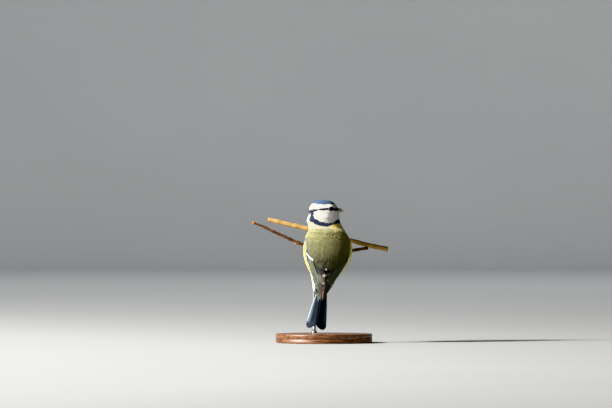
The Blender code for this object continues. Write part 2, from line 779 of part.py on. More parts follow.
def make_thigh(side, heel, materials, part):
    """The feathered thigh, a tapering drumstick that leaves the belly and ends above the heel."""
    hip = Vector((HIP_X[side], HIP_Y, HIP_Z))
    last = len(THIGH_RADII) - 1
    points = []
    for i in range(last + 1):
        share = i / last
        points.append(hip.lerp(heel, share) - Vector((0, 0, THIGH_SAG * math.sin(math.pi * share))))
    thigh = tube("thigh_" + side, points, THIGH_RADII, THIGH_SIDES, materials["mantle"], part)
    size = THIGH_CUT_ROWS, THIGH_CUT_SEGMENTS
    body = body_piece("inner", THIGH_CUT_LOW, THIGH_CUT_HIGH, *size, materials["mantle"], part, lift=GAP)
    combine(thigh, [body], "DIFFERENCE")
    return points[-2]


def curled(wrap, start, end, spread, reach, steps, claw_share, radius, material, part):
    """A toe round the twig, ending in its claw."""
    points, radii = [], []
    for i in range(steps + 1):
        t = i / steps
        claw = max(0.0, (t - 1 + claw_share) / claw_share)
        points.append(wrap(mix(start, end, t), spread * ease(1.4 * t), reach + TOE_CURL * (1 - 1.5 * claw)))
        radii.append(CLAW_RADIUS * (1 - 0.85 * claw) if claw > 0 else radius * (1 - 0.1 * t))
    return tube("toe", points, radii, TOE_SIDES, material, part)


def make_leg(side, path, materials, part):
    """The thigh, and the bare leg whose toes close round the side twig."""
    heel = Vector((mix(HIP_X[side], FOOT_X[side], HEEL_SHARE), HEEL_Y, HEEL_Z))
    above = make_thigh(side, heel, materials, part)
    centre, axis = twig_at(path, FOOT_X[side])
    knots = [(knot[0], radius) for knot, radius in zip(SIDE_TWIG, SIDE_TWIG_RADII)]
    reach = smooth_value(knots, FOOT_X[side]) + TOE_CLEARANCE + TOE_RADIUS
    towards = heel - centre
    towards = (towards - axis * towards.dot(axis)).normalized()
    over = axis.cross(towards)
    if over.z < 0:
        over = -over

    def wrap(angle, offset, radius):
        return centre + axis * offset + (towards * math.cos(angle) + over * math.sin(angle)) * radius

    palm = wrap(0.0, 0.0, reach + TOE_CURL)
    start = heel + (heel - above).normalized() * (GAP + TARSUS_RADIUS)
    grip = wrap(FOOT_GRIP_ANGLE, 0.0, reach)
    stations = [start, start.lerp(palm, 0.08), start.lerp(palm, 0.5), palm, grip]
    radii = [TARSUS_RADIUS * share for share in FOOT_SHARES]
    foot = tube("foot_" + side, stations, radii, FOOT_SIDES, materials["leg"], part)
    front = FRONT_TOE_STEPS, FRONT_CLAW_SHARE, TOE_RADIUS, materials["leg"], part
    hind = HIND_TOE_STEPS, HIND_CLAW_SHARE, TOE_RADIUS * HIND_TOE_SCALE, materials["leg"], part
    toes = []
    for spread, end in FRONT_TOE_ENDS:
        toes.append(curled(wrap, FRONT_TOE_START, end, spread * FRONT_TOE_SPREAD, reach, *front))
    toes.append(curled(wrap, HIND_TOE_START, HIND_TOE_END, HIND_TOE_SPREAD, reach, *hind))
    combine(foot, toes, "UNION")


def bud(path, x, radius, lean, material, part):
    """A pointed bud that leaves the twig at X, leaning off its direction."""
    root, along = twig_at(path, x)
    way = (-along + Vector((0, 0, lean))).normalized()
    step = BUD_LENGTH / (len(BUD_SWELL) - 1)
    points = [root + way * (step * i) for i in range(len(BUD_SWELL))]
    return tube("bud", points, [radius * share for share in BUD_SWELL], SIDE_TWIG_SIDES, material, part)


def knot(path, x, radius, material, part):
    """A low swelling round the twig, where a leaf once grew."""
    middle, along = twig_at(path, x)
    points = [middle + along * (KNOT_HALF_LENGTH * place) for place, _ in KNOT_SWELL]
    return tube("knot", points, [radius * share for _, share in KNOT_SWELL], SIDE_TWIG_SIDES, material, part)


def make_perch(materials, part):
    """The main twig, cut at both ends, and the side twig that forks from it."""
    main_path = smooth_path(MAIN_TWIG, TWIG_STEP)
    main_radii = radii_along(main_path, MAIN_TWIG, MAIN_TWIG_RADII)
    main = tube("perch_main", main_path, main_radii, MAIN_TWIG_SIDES, materials["bark"], part)
    knots = [knot(main_path, x, MAIN_TWIG_RADII[2], materials["bark"], part) for x in MAIN_KNOTS]
    combine(main, knots, "UNION")
    side_path = smooth_path(SIDE_TWIG, TWIG_STEP)
    side_radii = radii_along(side_path, SIDE_TWIG, SIDE_TWIG_RADII)
    side = tube("perch_side", side_path, side_radii, SIDE_TWIG_SIDES, materials["dark_bark"], part)
    buds = [bud(side_path, x, BUD_RADIUS, lean, materials["dark_bark"], part) for x, lean in SIDE_BUDS]
    combine(side, buds, "UNION")
    wide = tube("wide", main_path, [r + GAP for r in main_radii], MAIN_TWIG_SIDES, materials["bark"], part)
    combine(side, [wide], "DIFFERENCE")
    return side_path


def make_stand(path, materials, part):
    """A turned disc and one rod with a cradle under the side twig."""
    work = bmesh.new()
    bmesh.ops.create_cone(
        work,
        cap_ends=True,
        segments=BASE_SEGMENTS,
        radius1=BASE_RADIUS * MM,
        radius2=BASE_RADIUS * MM,
        depth=BASE_HEIGHT * MM,
    )
    bmesh.ops.translate(work, verts=work.verts, vec=(0.0, 0.0, 0.5 * BASE_HEIGHT * MM))
    mesh = bpy.data.meshes.new("stand_base")
    work.to_mesh(mesh)
    work.free()
    base = finish_object("stand_base", mesh, materials["wood"], part)
    bevel = base.modifiers.new("edge", "BEVEL")
    bevel.width = BASE_EDGE * MM
    bevel.segments = 2
    bevel.limit_method = "ANGLE"

    centre, axis = twig_at(path, ROD_X)
    foot = Vector((centre.x, centre.y, BASE_HEIGHT + GAP))
    column = rod("stand_rod", foot, centre, ROD_RADIUS, ROD_SEGMENTS, materials["steel"], part)
    reach = axis * CRADLE_LENGTH / 2
    ends = centre - reach, centre + reach
    cradle = rod("cradle", *ends, CRADLE_RADIUS, ROD_SEGMENTS, materials["steel"], part)
    combine(column, [cradle], "UNION")
    radii = radii_along(path, SIDE_TWIG, SIDE_TWIG_RADII)
    wide = tube("wide", path, [r + GAP for r in radii], SIDE_TWIG_SIDES, materials["steel"], part)
    top = centre + Vector((0, 0, CRADLE_OPENING))
    ends = top - 2 * reach, top + 2 * reach
    opening = rod("opening", *ends, CRADLE_OPENING, OPENING_SEGMENTS, materials["steel"], part)
    combine(column, [wide], "DIFFERENCE")
    combine(column, [opening], "DIFFERENCE")


def main():
    clear_scene()
    part = new_collection("blue_tit")
    materials = {name: make_material(name) for name in COLOURS}
    make_head(materials, part)
    make_bill(materials, part)
    neck = NECK_LOW_LEVEL + GAP / 2, NECK_HIGH_LEVEL - GAP / 2, NECK_ROWS, BODY_SEGMENTS
    torso = RUMP_LEVEL + GAP / 2, NECK_LOW_LEVEL - GAP / 2, TORSO_ROWS, BODY_SEGMENTS
    body_piece("neck", *neck, materials["mantle"], part)
    body_piece("torso", *torso, materials["mantle"], part)
    for side in SIDES:
        make_wing(side, materials, part)
    make_tail(materials, part)
    side_path = make_perch(materials, part)
    for side in SIDES:
        make_leg(side, side_path, materials, part)
    make_stand(side_path, materials, part)


main()
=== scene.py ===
# %% [markdown]
# # A blue tit on a cut twig
# The model is a life-size songbird in the pose of the photograph, seen from behind with its head turned
# to its right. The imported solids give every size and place. This file dresses them: one skin under the
# plumage, small feathers laid over it, long feathers for wings and tail, and finer eyes, bill, feet,
# twigs and stand.

# %% Load the fixed frame
import math

import bmesh
import bpy
import numpy as np
from mathutils import Matrix, Vector
from mathutils.bvhtree import BVHTree
from mathutils.kdtree import KDTree


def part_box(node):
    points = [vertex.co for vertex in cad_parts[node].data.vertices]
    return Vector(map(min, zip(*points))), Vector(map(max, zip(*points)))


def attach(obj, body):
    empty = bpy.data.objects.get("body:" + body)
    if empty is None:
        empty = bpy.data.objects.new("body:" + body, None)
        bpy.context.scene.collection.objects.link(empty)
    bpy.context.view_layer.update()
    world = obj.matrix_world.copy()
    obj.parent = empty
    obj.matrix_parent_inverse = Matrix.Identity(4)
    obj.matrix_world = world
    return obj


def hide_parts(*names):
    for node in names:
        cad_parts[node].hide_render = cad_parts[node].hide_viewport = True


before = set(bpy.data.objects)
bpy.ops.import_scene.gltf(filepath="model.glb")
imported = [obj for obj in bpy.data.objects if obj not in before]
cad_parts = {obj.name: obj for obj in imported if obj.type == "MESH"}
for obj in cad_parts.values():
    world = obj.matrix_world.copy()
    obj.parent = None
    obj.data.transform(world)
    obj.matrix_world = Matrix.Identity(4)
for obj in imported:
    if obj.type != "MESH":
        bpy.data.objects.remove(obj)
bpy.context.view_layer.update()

MM = 0.001
ROOT = "root"

# %% [markdown]
# Everything below works in millimetres and is turned into metres only when a mesh is finished. A few
# helpers do what each piece needs: they make a mesh from points and faces, merge a copy of the solids,
# and hand a finished piece over with its body and material, hiding the solids that it stands for.

# %% Helpers for meshes and pieces
scene = bpy.context.scene


def mesh_object(name, points, faces, smooth=True):
    mesh = bpy.data.meshes.new(name)
    mesh.from_pydata([tuple(np.asarray(p) * MM) for p in points], [], faces)
    mesh.update()
    obj = bpy.data.objects.new(name, mesh)
    scene.collection.objects.link(obj)
    if smooth:
        mesh.shade_smooth()
    return obj


def outward(obj):
    """Turns a closed mesh's faces outwards."""
    work = bmesh.new()
    work.from_mesh(obj.data)
    bmesh.ops.remove_doubles(work, verts=work.verts, dist=0.002 * MM)
    bmesh.ops.recalc_face_normals(work, faces=work.faces)
    work.to_mesh(obj.data)
    work.free()
    obj.data.shade_smooth()
    return obj


def applied(obj):
    """The object with its modifiers made part of its mesh."""
    graph = bpy.context.evaluated_depsgraph_get()
    mesh = bpy.data.meshes.new_from_object(obj.evaluated_get(graph))
    obj.modifiers.clear()
    obj.data = mesh
    return obj


def joined(name, objects):
    """One object from several, which are removed."""
    work = bmesh.new()
    for obj in objects:
        work.from_mesh(obj.data)
    mesh = bpy.data.meshes.new(name)
    work.to_mesh(mesh)
    work.free()
    result = bpy.data.objects.new(name, mesh)
    scene.collection.objects.link(result)
    for obj in objects:
        bpy.data.objects.remove(obj, do_unlink=True)
    mesh.shade_smooth()
    return result


def hand_over(piece, slot, material, *nodes):
    """Gives a finished piece its body and material, and hides the solids that it stands for. The slot is not used."""
    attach(piece, ROOT)
    if nodes:
        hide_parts(*nodes)
    if material is not None:
        piece.data.materials.clear()
        piece.data.materials.append(material)
    print(piece.name, len(piece.data.polygons), "faces")
    return piece


def mix(a, b, t):
    return a + (b - a) * t


def ease(t):
    t = np.clip(t, 0.0, 1.0)
    return t * t * (3 - 2 * t)


def through(knots, x):
    """A smooth curve's value at x, from (place, value) knots."""
    places = [k[0] for k in knots]
    values = [k[1] for k in knots]
    fine = np.linspace(places[0], places[-1], 96)
    rough = np.interp(fine, places, values)
    kernel = np.hanning(11)
    padded = np.concatenate([np.full(5, rough[0]), rough, np.full(5, rough[-1])])
    return np.interp(x, fine, np.convolve(padded, kernel / kernel.sum(), "valid"))


def box_mm(node):
    low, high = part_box(node)
    return np.array(low) / MM, np.array(high) / MM


# %% [markdown]
# The camera comes first. The photograph was taken from far away with a long lens, level with the bird,
# so a 300 mm lens stands more than four metres off. One pixel of the photograph is 0.87 mm at the bird,
# which sets both the lens and the place of the frame's centre.

# %% Camera
PIXEL = 0.87
IMAGE_WIDTH, IMAGE_HEIGHT = 612, 408
BIRD_COLUMN, FOOT_ROW, FOOT_HEIGHT = 324, 329, 12.0
CAMERA_DISTANCE = 4600.0
SENSOR = 36.0

frame_centre = np.array([
    (IMAGE_WIDTH / 2 - BIRD_COLUMN) * PIXEL,
    0.0,
    FOOT_HEIGHT + (FOOT_ROW - IMAGE_HEIGHT / 2) * PIXEL,
])
camera = bpy.data.objects.new("camera", bpy.data.cameras.new("camera"))
scene.collection.objects.link(camera)
camera.data.sensor_width = SENSOR
camera.data.lens = SENSOR * CAMERA_DISTANCE / (IMAGE_WIDTH * PIXEL)
camera.location = Vector(frame_centre - [0, CAMERA_DISTANCE, 0]) * MM
camera.rotation_euler = (math.radians(90), 0, 0)
camera.data.clip_start = 0.1
camera.data.clip_end = 60.0
scene.camera = camera
print("lens", round(camera.data.lens), "mm, camera", round(camera.location.z, 3), "m over the floor")

# %% [markdown]
# The studio is a pale round sweep: a floor that curves up into a wall on every side, so that no horizon
# cuts the view. The photograph's sun stands high on the left, so a broad key light comes from there. A
# weak fill and soft light from behind keep the shaded sides readable.

# %% Studio: sweep and lights
FLOOR_RADIUS, BEND_RADIUS, WALL_TOP = 5200.0, 900.0, 3600.0
SWEEP_SIDES = 96


def sweep_profile():
    points = [(400.0, 0.0), (FLOOR_RADIUS, 0.0)]
    for i in range(1, 13):
        angle = math.radians(90 * i / 12)
        points.append((FLOOR_RADIUS + BEND_RADIUS * math.sin(angle), BEND_RADIUS * (1 - math.cos(angle))))
    return points + [(FLOOR_RADIUS + BEND_RADIUS, WALL_TOP)]


def make_sweep():
    points = [(r * math.cos(2 * math.pi * k / SWEEP_SIDES), r * math.sin(2 * math.pi * k / SWEEP_SIDES), z)
              for r, z in sweep_profile() for k in range(SWEEP_SIDES)]
    faces = [tuple(range(SWEEP_SIDES))]
    for row in range(len(sweep_profile()) - 1):
        for k in range(SWEEP_SIDES):
            a, b = row * SWEEP_SIDES + k, row * SWEEP_SIDES + (k + 1) % SWEEP_SIDES
            faces.append((a, a + SWEEP_SIDES, b + SWEEP_SIDES, b))
    return mesh_object("studio_sweep", points, faces)


sweep = make_sweep()


def area_light(name, place, size, watts, colour, target=(0.0, 0.0, 80.0)):
    light = bpy.data.lights.new(name, "AREA")
    light.shape = "DISK"
    light.size = size * MM
    light.energy = watts
    light.color = colour
    obj = bpy.data.objects.new(name, light)
    scene.collection.objects.link(obj)
    obj.location = Vector(place) * MM
    obj.rotation_euler = (Vector(target) * MM - obj.location).to_track_quat("-Z", "Y").to_euler()
    return obj


area_light("key", (-2110, -860, 1280), 380, 280, (1.0, 0.965, 0.90))
area_light("fill", (1500, -1700, 700), 1600, 0.7, (0.86, 0.92, 1.0))
area_light("back", (-700, 1500, 1500), 1200, 5, (0.94, 0.97, 1.0))
area_light("wall", (0, 2600, 3200), 1800, 110, (1.0, 1.0, 1.0), (0.0, 6100.0, 500.0))
scene.view_settings.view_transform = "Khronos PBR Neutral"
world = bpy.data.worlds.new("studio_air")
scene.world = world
world.use_nodes = True
world.node_tree.nodes["Background"].inputs["Color"].default_value = (0.80, 0.87, 1.0, 1.0)
world.node_tree.nodes["Background"].inputs["Strength"].default_value = 0.05

# %% [markdown]
# Colours are named once, as the eye sees them on a screen, and turned into the linear values that shaders
# mix. Each is one real part of the plumage: the cobalt cap, the white brow and cheek, the dark collar,
# the olive mantle, the sulphur flank, and the blues, greens and browns of the long feathers. The paler
# upper mantle is partly its own blend towards the shawl and partly painted light.

# %% Named colours
def linear(red, green, blue):
    values = np.array([red, green, blue]) / 255.0
    return np.where(values <= 0.04045, values / 12.92, ((values + 0.055) / 1.055) ** 2.4)


CAP = linear(71, 92, 122)
WHITE = linear(243, 243, 240)
CHEEK = linear(246, 245, 241)
NAPE = linear(232, 235, 230)
EYE_LINE = linear(30, 36, 54)
COLLAR = linear(37, 47, 69)
BIB = linear(24, 26, 36)
MANTLE = linear(90, 89, 61)
# Paler upper mantle: partly its own blend towards the shawl, partly painted light from above.
MANTLE_PALE_AND_PAINTED_LIGHT = linear(124, 122, 85)
MANTLE_GREY = linear(64, 65, 49)
RUMP = linear(70, 76, 68)
TAIL_COVERTS = linear(58, 70, 80)
SHAWL = linear(204, 202, 180)
BREAST = linear(238, 212, 104)
FLANK = linear(240, 228, 144)
BELLY_LINE = linear(70, 74, 84)
VENT = linear(240, 240, 230)
TAIL_BLUE = linear(74, 97, 115)
SHAFT_DARK = linear(38, 44, 58)
WEB_BLUE = linear(78, 112, 138)
WEB_GREEN = linear(106, 116, 96)
WEB_BROWN = linear(74, 66, 62)
COVERT_BLUE = linear(84, 96, 108)
BAR_WHITE = linear(240, 242, 238)
TERTIAL = linear(82, 92, 96)

# %% [markdown]
# A real bird's outline is plumage, with the skin some way inside it. The skin here could be modelled
# afresh, but the solids already have the right shape, so copies of head, neck, torso and thighs are
# swollen until their thin cuts close, remeshed into one surface, smoothed and drawn in again. A short
# cone, spread from the torso's own end ring, carries the coverts over the root of the tail.

# %% One outline from the solids of flesh
SWELL = 0.30
VOXEL = 0.62
COAT_DEPTH = 1.25
SECTION_LEAN = math.radians(20)
CONE_REACH = 0.44
CONE_SIDE, CONE_DEPTH = 0.36, 0.24
FLESH = ("head", "neck", "torso", "thigh_left", "thigh_right", "eye_left", "eye_right")


def node_points(name):
    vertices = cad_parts[name].data.vertices
    points = np.empty(len(vertices) * 3)
    vertices.foreach_get("co", points)
    return points.reshape(-1, 3) / MM


def swollen_copy(name, amount):
    """A merged copy of a solid, pushed outwards."""
    work = bmesh.new()
    work.from_mesh(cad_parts[name].data)
    bmesh.ops.remove_doubles(work, verts=work.verts, dist=0.001 * MM)
    work.normal_update()
    moves = [vertex.normal * amount * MM for vertex in work.verts]
    for vertex, move in zip(work.verts, moves):
        vertex.co += move
    mesh = bpy.data.meshes.new(name + "_copy")
    work.to_mesh(mesh)
    work.free()
    obj = bpy.data.objects.new(name + "_copy", mesh)
    scene.collection.objects.link(obj)
    return obj


tail_points = node_points("tail")
torso_points = node_points("torso")
TAIL_TIP = tail_points[tail_points[:, 2] < 14].mean(axis=0)
down = np.array([0.0, -math.sin(SECTION_LEAN), -math.cos(SECTION_LEAN)])
depth_below = torso_points @ down
end_ring = np.unique(torso_points[depth_below > depth_below.max() - 0.05].round(3), axis=0)
ring_centre = (end_ring.min(axis=0) + end_ring.max(axis=0)) / 2
end_ring = np.array(sorted(end_ring, key=lambda p: math.atan2(p[1] - ring_centre[1], p[0] - ring_centre[0])))
cone_tip = mix(ring_centre, TAIL_TIP, CONE_REACH)


def coverts_cone():
    rings, rows = [], 8
    for row in range(-1, rows + 1):
        t = row / rows
        centre = mix(ring_centre, cone_tip, t)
        across = end_ring - ring_centre
        side, deep = mix(1.0, CONE_SIDE, max(t, 0)), mix(1.0, CONE_DEPTH, max(t, 0) ** 0.8)
        rings.append(centre + across * [side, deep, deep])
    count = len(end_ring)
    points = np.concatenate(rings)
    faces = [tuple(range(count)), tuple(len(points) - 1 - i for i in range(count))]
    for row in range(len(rings) - 1):
        for i in range(count):
            a, b = row * count + i, row * count + (i + 1) % count
            faces.append((a, b, b + count, a + count))
    return outward(mesh_object("coverts_cone", points, faces))


outline = joined("outline", [swollen_copy(name, SWELL) for name in FLESH] + [coverts_cone()])
remesh = outline.modifiers.new("one surface", "REMESH")
remesh.mode = "VOXEL"
remesh.voxel_size = VOXEL * MM
soften = outline.modifiers.new("soften", "SMOOTH")
soften.factor = 0.5
soften.iterations = 6
applied(outline)


def moved_along_normals(obj, amount):
    count = len(obj.data.vertices)
    points, normals = np.empty(count * 3), np.empty(count * 3, np.float32)
    obj.data.vertices.foreach_get("co", points)
    obj.data.vertex_normals.foreach_get("vector", normals)
    moved = points.reshape(-1, 3) + normals.reshape(-1, 3) * amount * MM
    obj.data.vertices.foreach_set("co", moved.ravel())
    obj.data.update()


moved_along_normals(outline, -SWELL)
print("outline", len(outline.data.vertices), "points")

# %% [markdown]
# Long feathers and markings need addresses on the body: a height and a bearing, with 0 degrees at the
# bird's right side, 90 at the middle of its back and 180 at its left. The outline is read by rays from
# its axis into a small table of radii, and smoothed, so that a feather laid by address lies evenly.

# %% Addresses on the body
CHART_LOW, CHART_HIGH, CHART_STEP = 31.0, 121.0, 1.0
BEARINGS = 72

outline_points = np.array([v.co for v in outline.data.vertices]) / MM
tree = BVHTree.FromPolygons([tuple(p) for p in outline_points],
                            [tuple(p.vertices) for p in outline.data.polygons])
heights = np.arange(CHART_LOW, CHART_HIGH + CHART_STEP / 2, CHART_STEP)


def axis_by_height():
    """The middle of the trunk at each height, from the solids without the thighs."""
    trunk = np.concatenate([node_points(n) for n in ("head", "neck", "torso")])
    found = []
    for height in heights:
        near = trunk[np.abs(trunk[:, 2] - height) < 3.0]
        if height < 48 or len(near) < 8:
            t = np.clip((ring_centre[2] - height) / (ring_centre[2] - TAIL_TIP[2]), 0, 1)
            found.append(mix(ring_centre, TAIL_TIP, t)[:2])
        else:
            found.append((near[:, :2].min(axis=0) + near[:, :2].max(axis=0)) / 2)
    found = np.array(found)
    kernel = np.hanning(11)
    padded = np.concatenate([np.repeat(found[:1], 5, 0), found, np.repeat(found[-1:], 5, 0)])
    return np.stack([np.convolve(padded[:, i], kernel / kernel.sum(), "valid") for i in range(2)], 1)


axis = axis_by_height()


def axis_at(height):
    return np.array([np.interp(height, heights, axis[:, 0]), np.interp(height, heights, axis[:, 1])])


def read_radii():
    radii = np.zeros((len(heights), BEARINGS))
    for i, height in enumerate(heights):
        for k in range(BEARINGS):
            angle = 2 * math.pi * k / BEARINGS
            way = Vector((math.cos(angle), -math.sin(angle), 0.0))
            middle = Vector((axis[i, 0], axis[i, 1], height))
            hit = tree.ray_cast(middle + way * 60, -way)
            radii[i, k] = (hit[0] - middle).dot(way) if hit[0] else np.nan
    for row in radii.T:
        bad = np.isnan(row)
        row[bad] = np.interp(heights[bad], heights[~bad], row[~bad])
    for _ in range(2):
        wide = np.concatenate([radii[:, -1:], radii, radii[:, :1]], axis=1)
        radii = 0.25 * wide[:, :-2] + 0.5 * wide[:, 1:-1] + 0.25 * wide[:, 2:]
        tall = np.concatenate([radii[:1], radii, radii[-1:]])
        radii = 0.25 * tall[:-2] + 0.5 * tall[1:-1] + 0.25 * tall[2:]
    return radii


radii = read_radii()


def plain_spot(height, degrees):
    """A point of the outline by its address."""
    row = np.clip((height - CHART_LOW) / CHART_STEP, 0, len(heights) - 1.001)
    column = (degrees / 360 * BEARINGS) % BEARINGS
    r, c = int(row), int(column)
    fr, fc = row - r, column - c
    values = radii[r:r + 2][:, [c % BEARINGS, (c + 1) % BEARINGS]]
    radius = mix(mix(values[0, 0], values[0, 1], fc), mix(values[1, 0], values[1, 1], fc), fr)
    angle = math.radians(degrees)
    middle = axis_at(height)
    return np.array([middle[0] + radius * math.cos(angle), middle[1] - radius * math.sin(angle), height])


def unit(vector):
    return vector / max(np.linalg.norm(vector), 1e-9)


def spot(height, degrees, lift=0.0):
    """The point, lifted off the outline, and the outward direction there."""
    up = plain_spot(height + 1.0, degrees) - plain_spot(height - 1.0, degrees)
    round_ = plain_spot(height, degrees + 4) - plain_spot(height, degrees - 4)
    normal = unit(np.cross(round_, up))
    if normal @ (np.append(axis_at(height), height) - plain_spot(height, degrees)) > 0:
        normal = -normal
    return plain_spot(height, degrees) + normal * lift, normal


print("girth at 80 mm", round(radii[int(80 - CHART_LOW)].mean(), 1), "mm in radius")

# %% [markdown]
# The markings are painted by rule, not by picture. The head has its own measures: s runs forwards from
# its middle, t sideways, and both sides share one pattern. Each marking is an edge drawn as a short curve
# of (s, height) knots, and a colour. Skin and feathers ask the same function, so they always agree.

# %% Head measures and the marking edges
HEAD_X, HEAD_Y = 0.3, 8.0
HEAD_TURN = math.radians(12)
CAP_EDGE = ((-14, 123.4), (-9, 122.3), (-4, 120.9), (3, 120.2), (9, 119.9), (12, 120.2))
LINE_MIDDLE = ((-14, 116.0), (-12, 115.9), (-9.5, 115.6), (-2, 116.4), (3.8, 116.5), (8, 116.2), (12.5, 115.7))
LINE_HALF = ((-14, 2.2), (-12, 1.8), (-9.8, 1.3), (-7, 1.05), (0, 1.0), (2.5, 1.15), (5.5, 1.15), (8, 1.1), (13, 1.15))
CHEEK_BOTTOM = ((-12, 113.4), (-9.8, 112.0), (-8.6, 109.2), (-5.5, 106.6), (0.5, 105.5), (7, 105.7), (10.5, 108.6))
COLLAR_BOTTOM = ((-14, 108.5), (-11, 105.4), (-9.7, 104.3), (-6, 102.4), (0.5, 101.8), (2.5, 102.7), (5, 103.9), (12, 104.6))
NAPE_ANGLE, CHEEK_ANGLE = 15.0, 43.0
NAPE_TOP = 113.4
BIB_FRONT, BIB_BOTTOM, BIB_TOP = 7.5, 103.0, 115.2
BIB_HALF = ((104.0, 109.0, 113.0), (3.9, 3.2, 2.2))
FOREHEAD = (10.4, 2.0, 115.9)
MANTLE_TOP = 98.6


def head_measures(points):
    x, y = points[:, 0] - HEAD_X, points[:, 1] - HEAD_Y
    forward = x * math.cos(HEAD_TURN) + y * math.sin(HEAD_TURN)
    side = np.abs(y * math.cos(HEAD_TURN) - x * math.sin(HEAD_TURN))
    return forward, side, points[:, 2]


def bearings_of(points):
    x = points[:, 0] - np.interp(points[:, 2], heights, axis[:, 0])
    y = points[:, 1] - np.interp(points[:, 2], heights, axis[:, 1])
    return np.degrees(np.arctan2(-y, x)) % 360, np.hypot(x, y)


def over(value, edge, softness):
    """0 under the edge, 1 over it, with a soft step."""
    return ease((value - edge) / softness + 0.5)


def laid(colour, paint, amount):
    return colour + (np.asarray(paint) - colour) * np.asarray(amount)[:, None]


# %% [markdown]
# The body's pattern is simple beside the head's: an olive mantle over the back, yellow underneath with a
# dark line down the belly, white towards the vent, and a pale shawl between the collar and the mantle.

# %% The plumage's colours, body first
BACK_LIMIT = ((36.0, 42.5, 45.0, 48.5, 52.0, 56.0, 84.0, 92.0, 100.0), (130.0, 125.0, 70.0, 24.0, 42.0, 60.0, 66.0, 74.0, 88.0))


def body_colours(points, softness):
    bearing, reach = bearings_of(points)
    z = points[:, 2]
    from_back = np.abs((bearing - 90 + 180) % 360 - 180)
    from_belly = np.abs((bearing - 270 + 180) % 360 - 180)
    colour = np.tile(FLANK, (len(points), 1))
    colour = laid(colour, BREAST, over(z, 86, 12) * np.maximum(over(from_back, 104, 24), over(z, 98, 4)))
    colour = laid(colour, VENT, 1 - over(z, 60 - from_back * 0.02, 9))
    stripe = 1 - over(np.radians(from_belly) * reach, 1.7, 1.4)
    colour = laid(colour, BELLY_LINE, stripe * over(z, 57, 6) * (1 - over(z, 93, 8)) * 0.8)
    back = 1 - over(from_back, np.interp(z, *BACK_LIMIT), 7 + softness)
    # The mantle grows paler towards its top: partly its own blend towards the shawl, partly painted light.
    mantle = laid(np.tile(MANTLE, (len(points), 1)), MANTLE_PALE_AND_PAINTED_LIGHT, over(z, 89, 10))
    mantle = laid(mantle, MANTLE_GREY, 1 - over(z, 76, 14))
    mantle = laid(mantle, RUMP, 1 - over(z, 58, 8))
    mantle = laid(mantle, TAIL_COVERTS, 1 - over(z, 50, 6))
    top = MANTLE_TOP + 4.5 * (1 - over(head_measures(points)[0], 2.0, 3.0))
    top = top + 0.9 * np.sin(0.42 * bearing) * np.sin(0.17 * bearing)
    colour = laid(colour, mantle, back * (1 - over(z, top, 5.5 + softness)))
    return colour


def head_colours(points, colour, softness):
    s, t, z = head_measures(points)
    nape_angle = np.degrees(np.arctan2(t, -s))
    line, half = through(LINE_MIDDLE, s), through(LINE_HALF, s)
    under_line = 1 - over(z, line - half * 0.5, softness)
    streaked = 2.2 * np.sin(3.1 * s + 2.3 * t) * np.sin(1.7 * s - 2.9 * t)
    shawl = (1 - over(s, 3.4, 1.5)) * over(z + streaked, MANTLE_TOP + 1.6, 8.5)
    colour = laid(colour, SHAWL, shawl)
    fleck = over(np.sin(3.3 * s + 0.8 * z) + 0.6 * np.sin(1.9 * s - 1.3 * z), 0.75, 0.5)
    colour = laid(colour, WHITE, fleck * over(s, 2.4, 2.0) * over(z, MANTLE_TOP - 0.6, 2.0) * 0.8)
    collar = over(z, through(COLLAR_BOTTOM, s), softness)
    colour = laid(colour, COLLAR, collar)
    cheek = over(z, through(CHEEK_BOTTOM, s), softness) * over(nape_angle, CHEEK_ANGLE, 3 + 4 * softness)
    colour = laid(colour, CHEEK, cheek * under_line)
    nape = (1 - over(nape_angle, NAPE_ANGLE, 4 + 4 * softness)) * (1 - over(z, NAPE_TOP, softness))
    colour = laid(colour, NAPE, nape * over(z, MANTLE_TOP + 3.6, 4.5))
    bib = over(s, BIB_FRONT, softness) * (1 - over(t, np.interp(z, *BIB_HALF), softness))
    bib = bib * over(z, BIB_BOTTOM, softness) * (1 - over(z, BIB_TOP, softness))
    colour = laid(colour, BIB, bib)
    brow = over(z, line, softness)
    colour = laid(colour, WHITE, brow)
    stripe = (1 - over(np.abs(z - line), half, softness))
    white_front = over(s, FOREHEAD[0], 1.0) * (1 - over(t, FOREHEAD[1], 0.8)) * over(z, FOREHEAD[2], 0.5)
    stripe = stripe * (1 - white_front)
    colour = laid(colour, EYE_LINE, stripe)
    cap = over(z, through(CAP_EDGE, s), softness)
    return laid(colour, CAP, cap)


def plumage(points, softness=0.35):
    colour = body_colours(points, softness)
    return head_colours(points, colour, softness)


print("sample of the cap", plumage(np.array([[0.0, 8.0, 124.0]])).round(2))

# %% [markdown]
# The skin is the outline drawn in by the depth of the coat. It carries three things that the feathers
# will ask for: the lie of the plumage, which runs from the bill over head and body to the tail, the
# size of feather that grows at each place, and a mask for each of the regions.

# %% Skin
def read_vectors(obj, what="vertices"):
    values = np.empty(len(obj.data.vertices) * 3, np.float32)
    if what == "normals":
        obj.data.vertex_normals.foreach_get("vector", values)
        return values.reshape(-1, 3).astype(float)
    obj.data.vertices.foreach_get("co", values)
    return values.reshape(-1, 3).astype(float) / MM


def ball_of(name):
    """Centre and radius of the ball that a node's points lie on."""
    points = node_points(name)
    lhs = np.column_stack([2 * points, np.ones(len(points))])
    found = np.linalg.lstsq(lhs, (points ** 2).sum(axis=1), rcond=None)[0]
    centre = found[:3]
    return centre, math.sqrt(found[3] + centre @ centre)


EYES = [ball_of("eye_right"), ball_of("eye_left")]
head_middle = np.array([HEAD_X, HEAD_Y, 0.0])
EYE_WAYS = [unit((centre - head_middle) * [1, 1, 0]) for centre, _ in EYES]
bill_points = np.concatenate([node_points("bill_upper"), node_points("bill_lower")])
HEAD_FORWARD = np.array([math.cos(HEAD_TURN), math.sin(HEAD_TURN), 0.0])
bill_reach = bill_points @ HEAD_FORWARD
BILL_ROOT = bill_points[bill_reach < bill_reach.min() + 0.6].mean(axis=0)
for (centre, radius), way in zip(EYES, EYE_WAYS):
    print("eye at", centre.round(1), "radius", round(radius, 2), "looks", way.round(2))

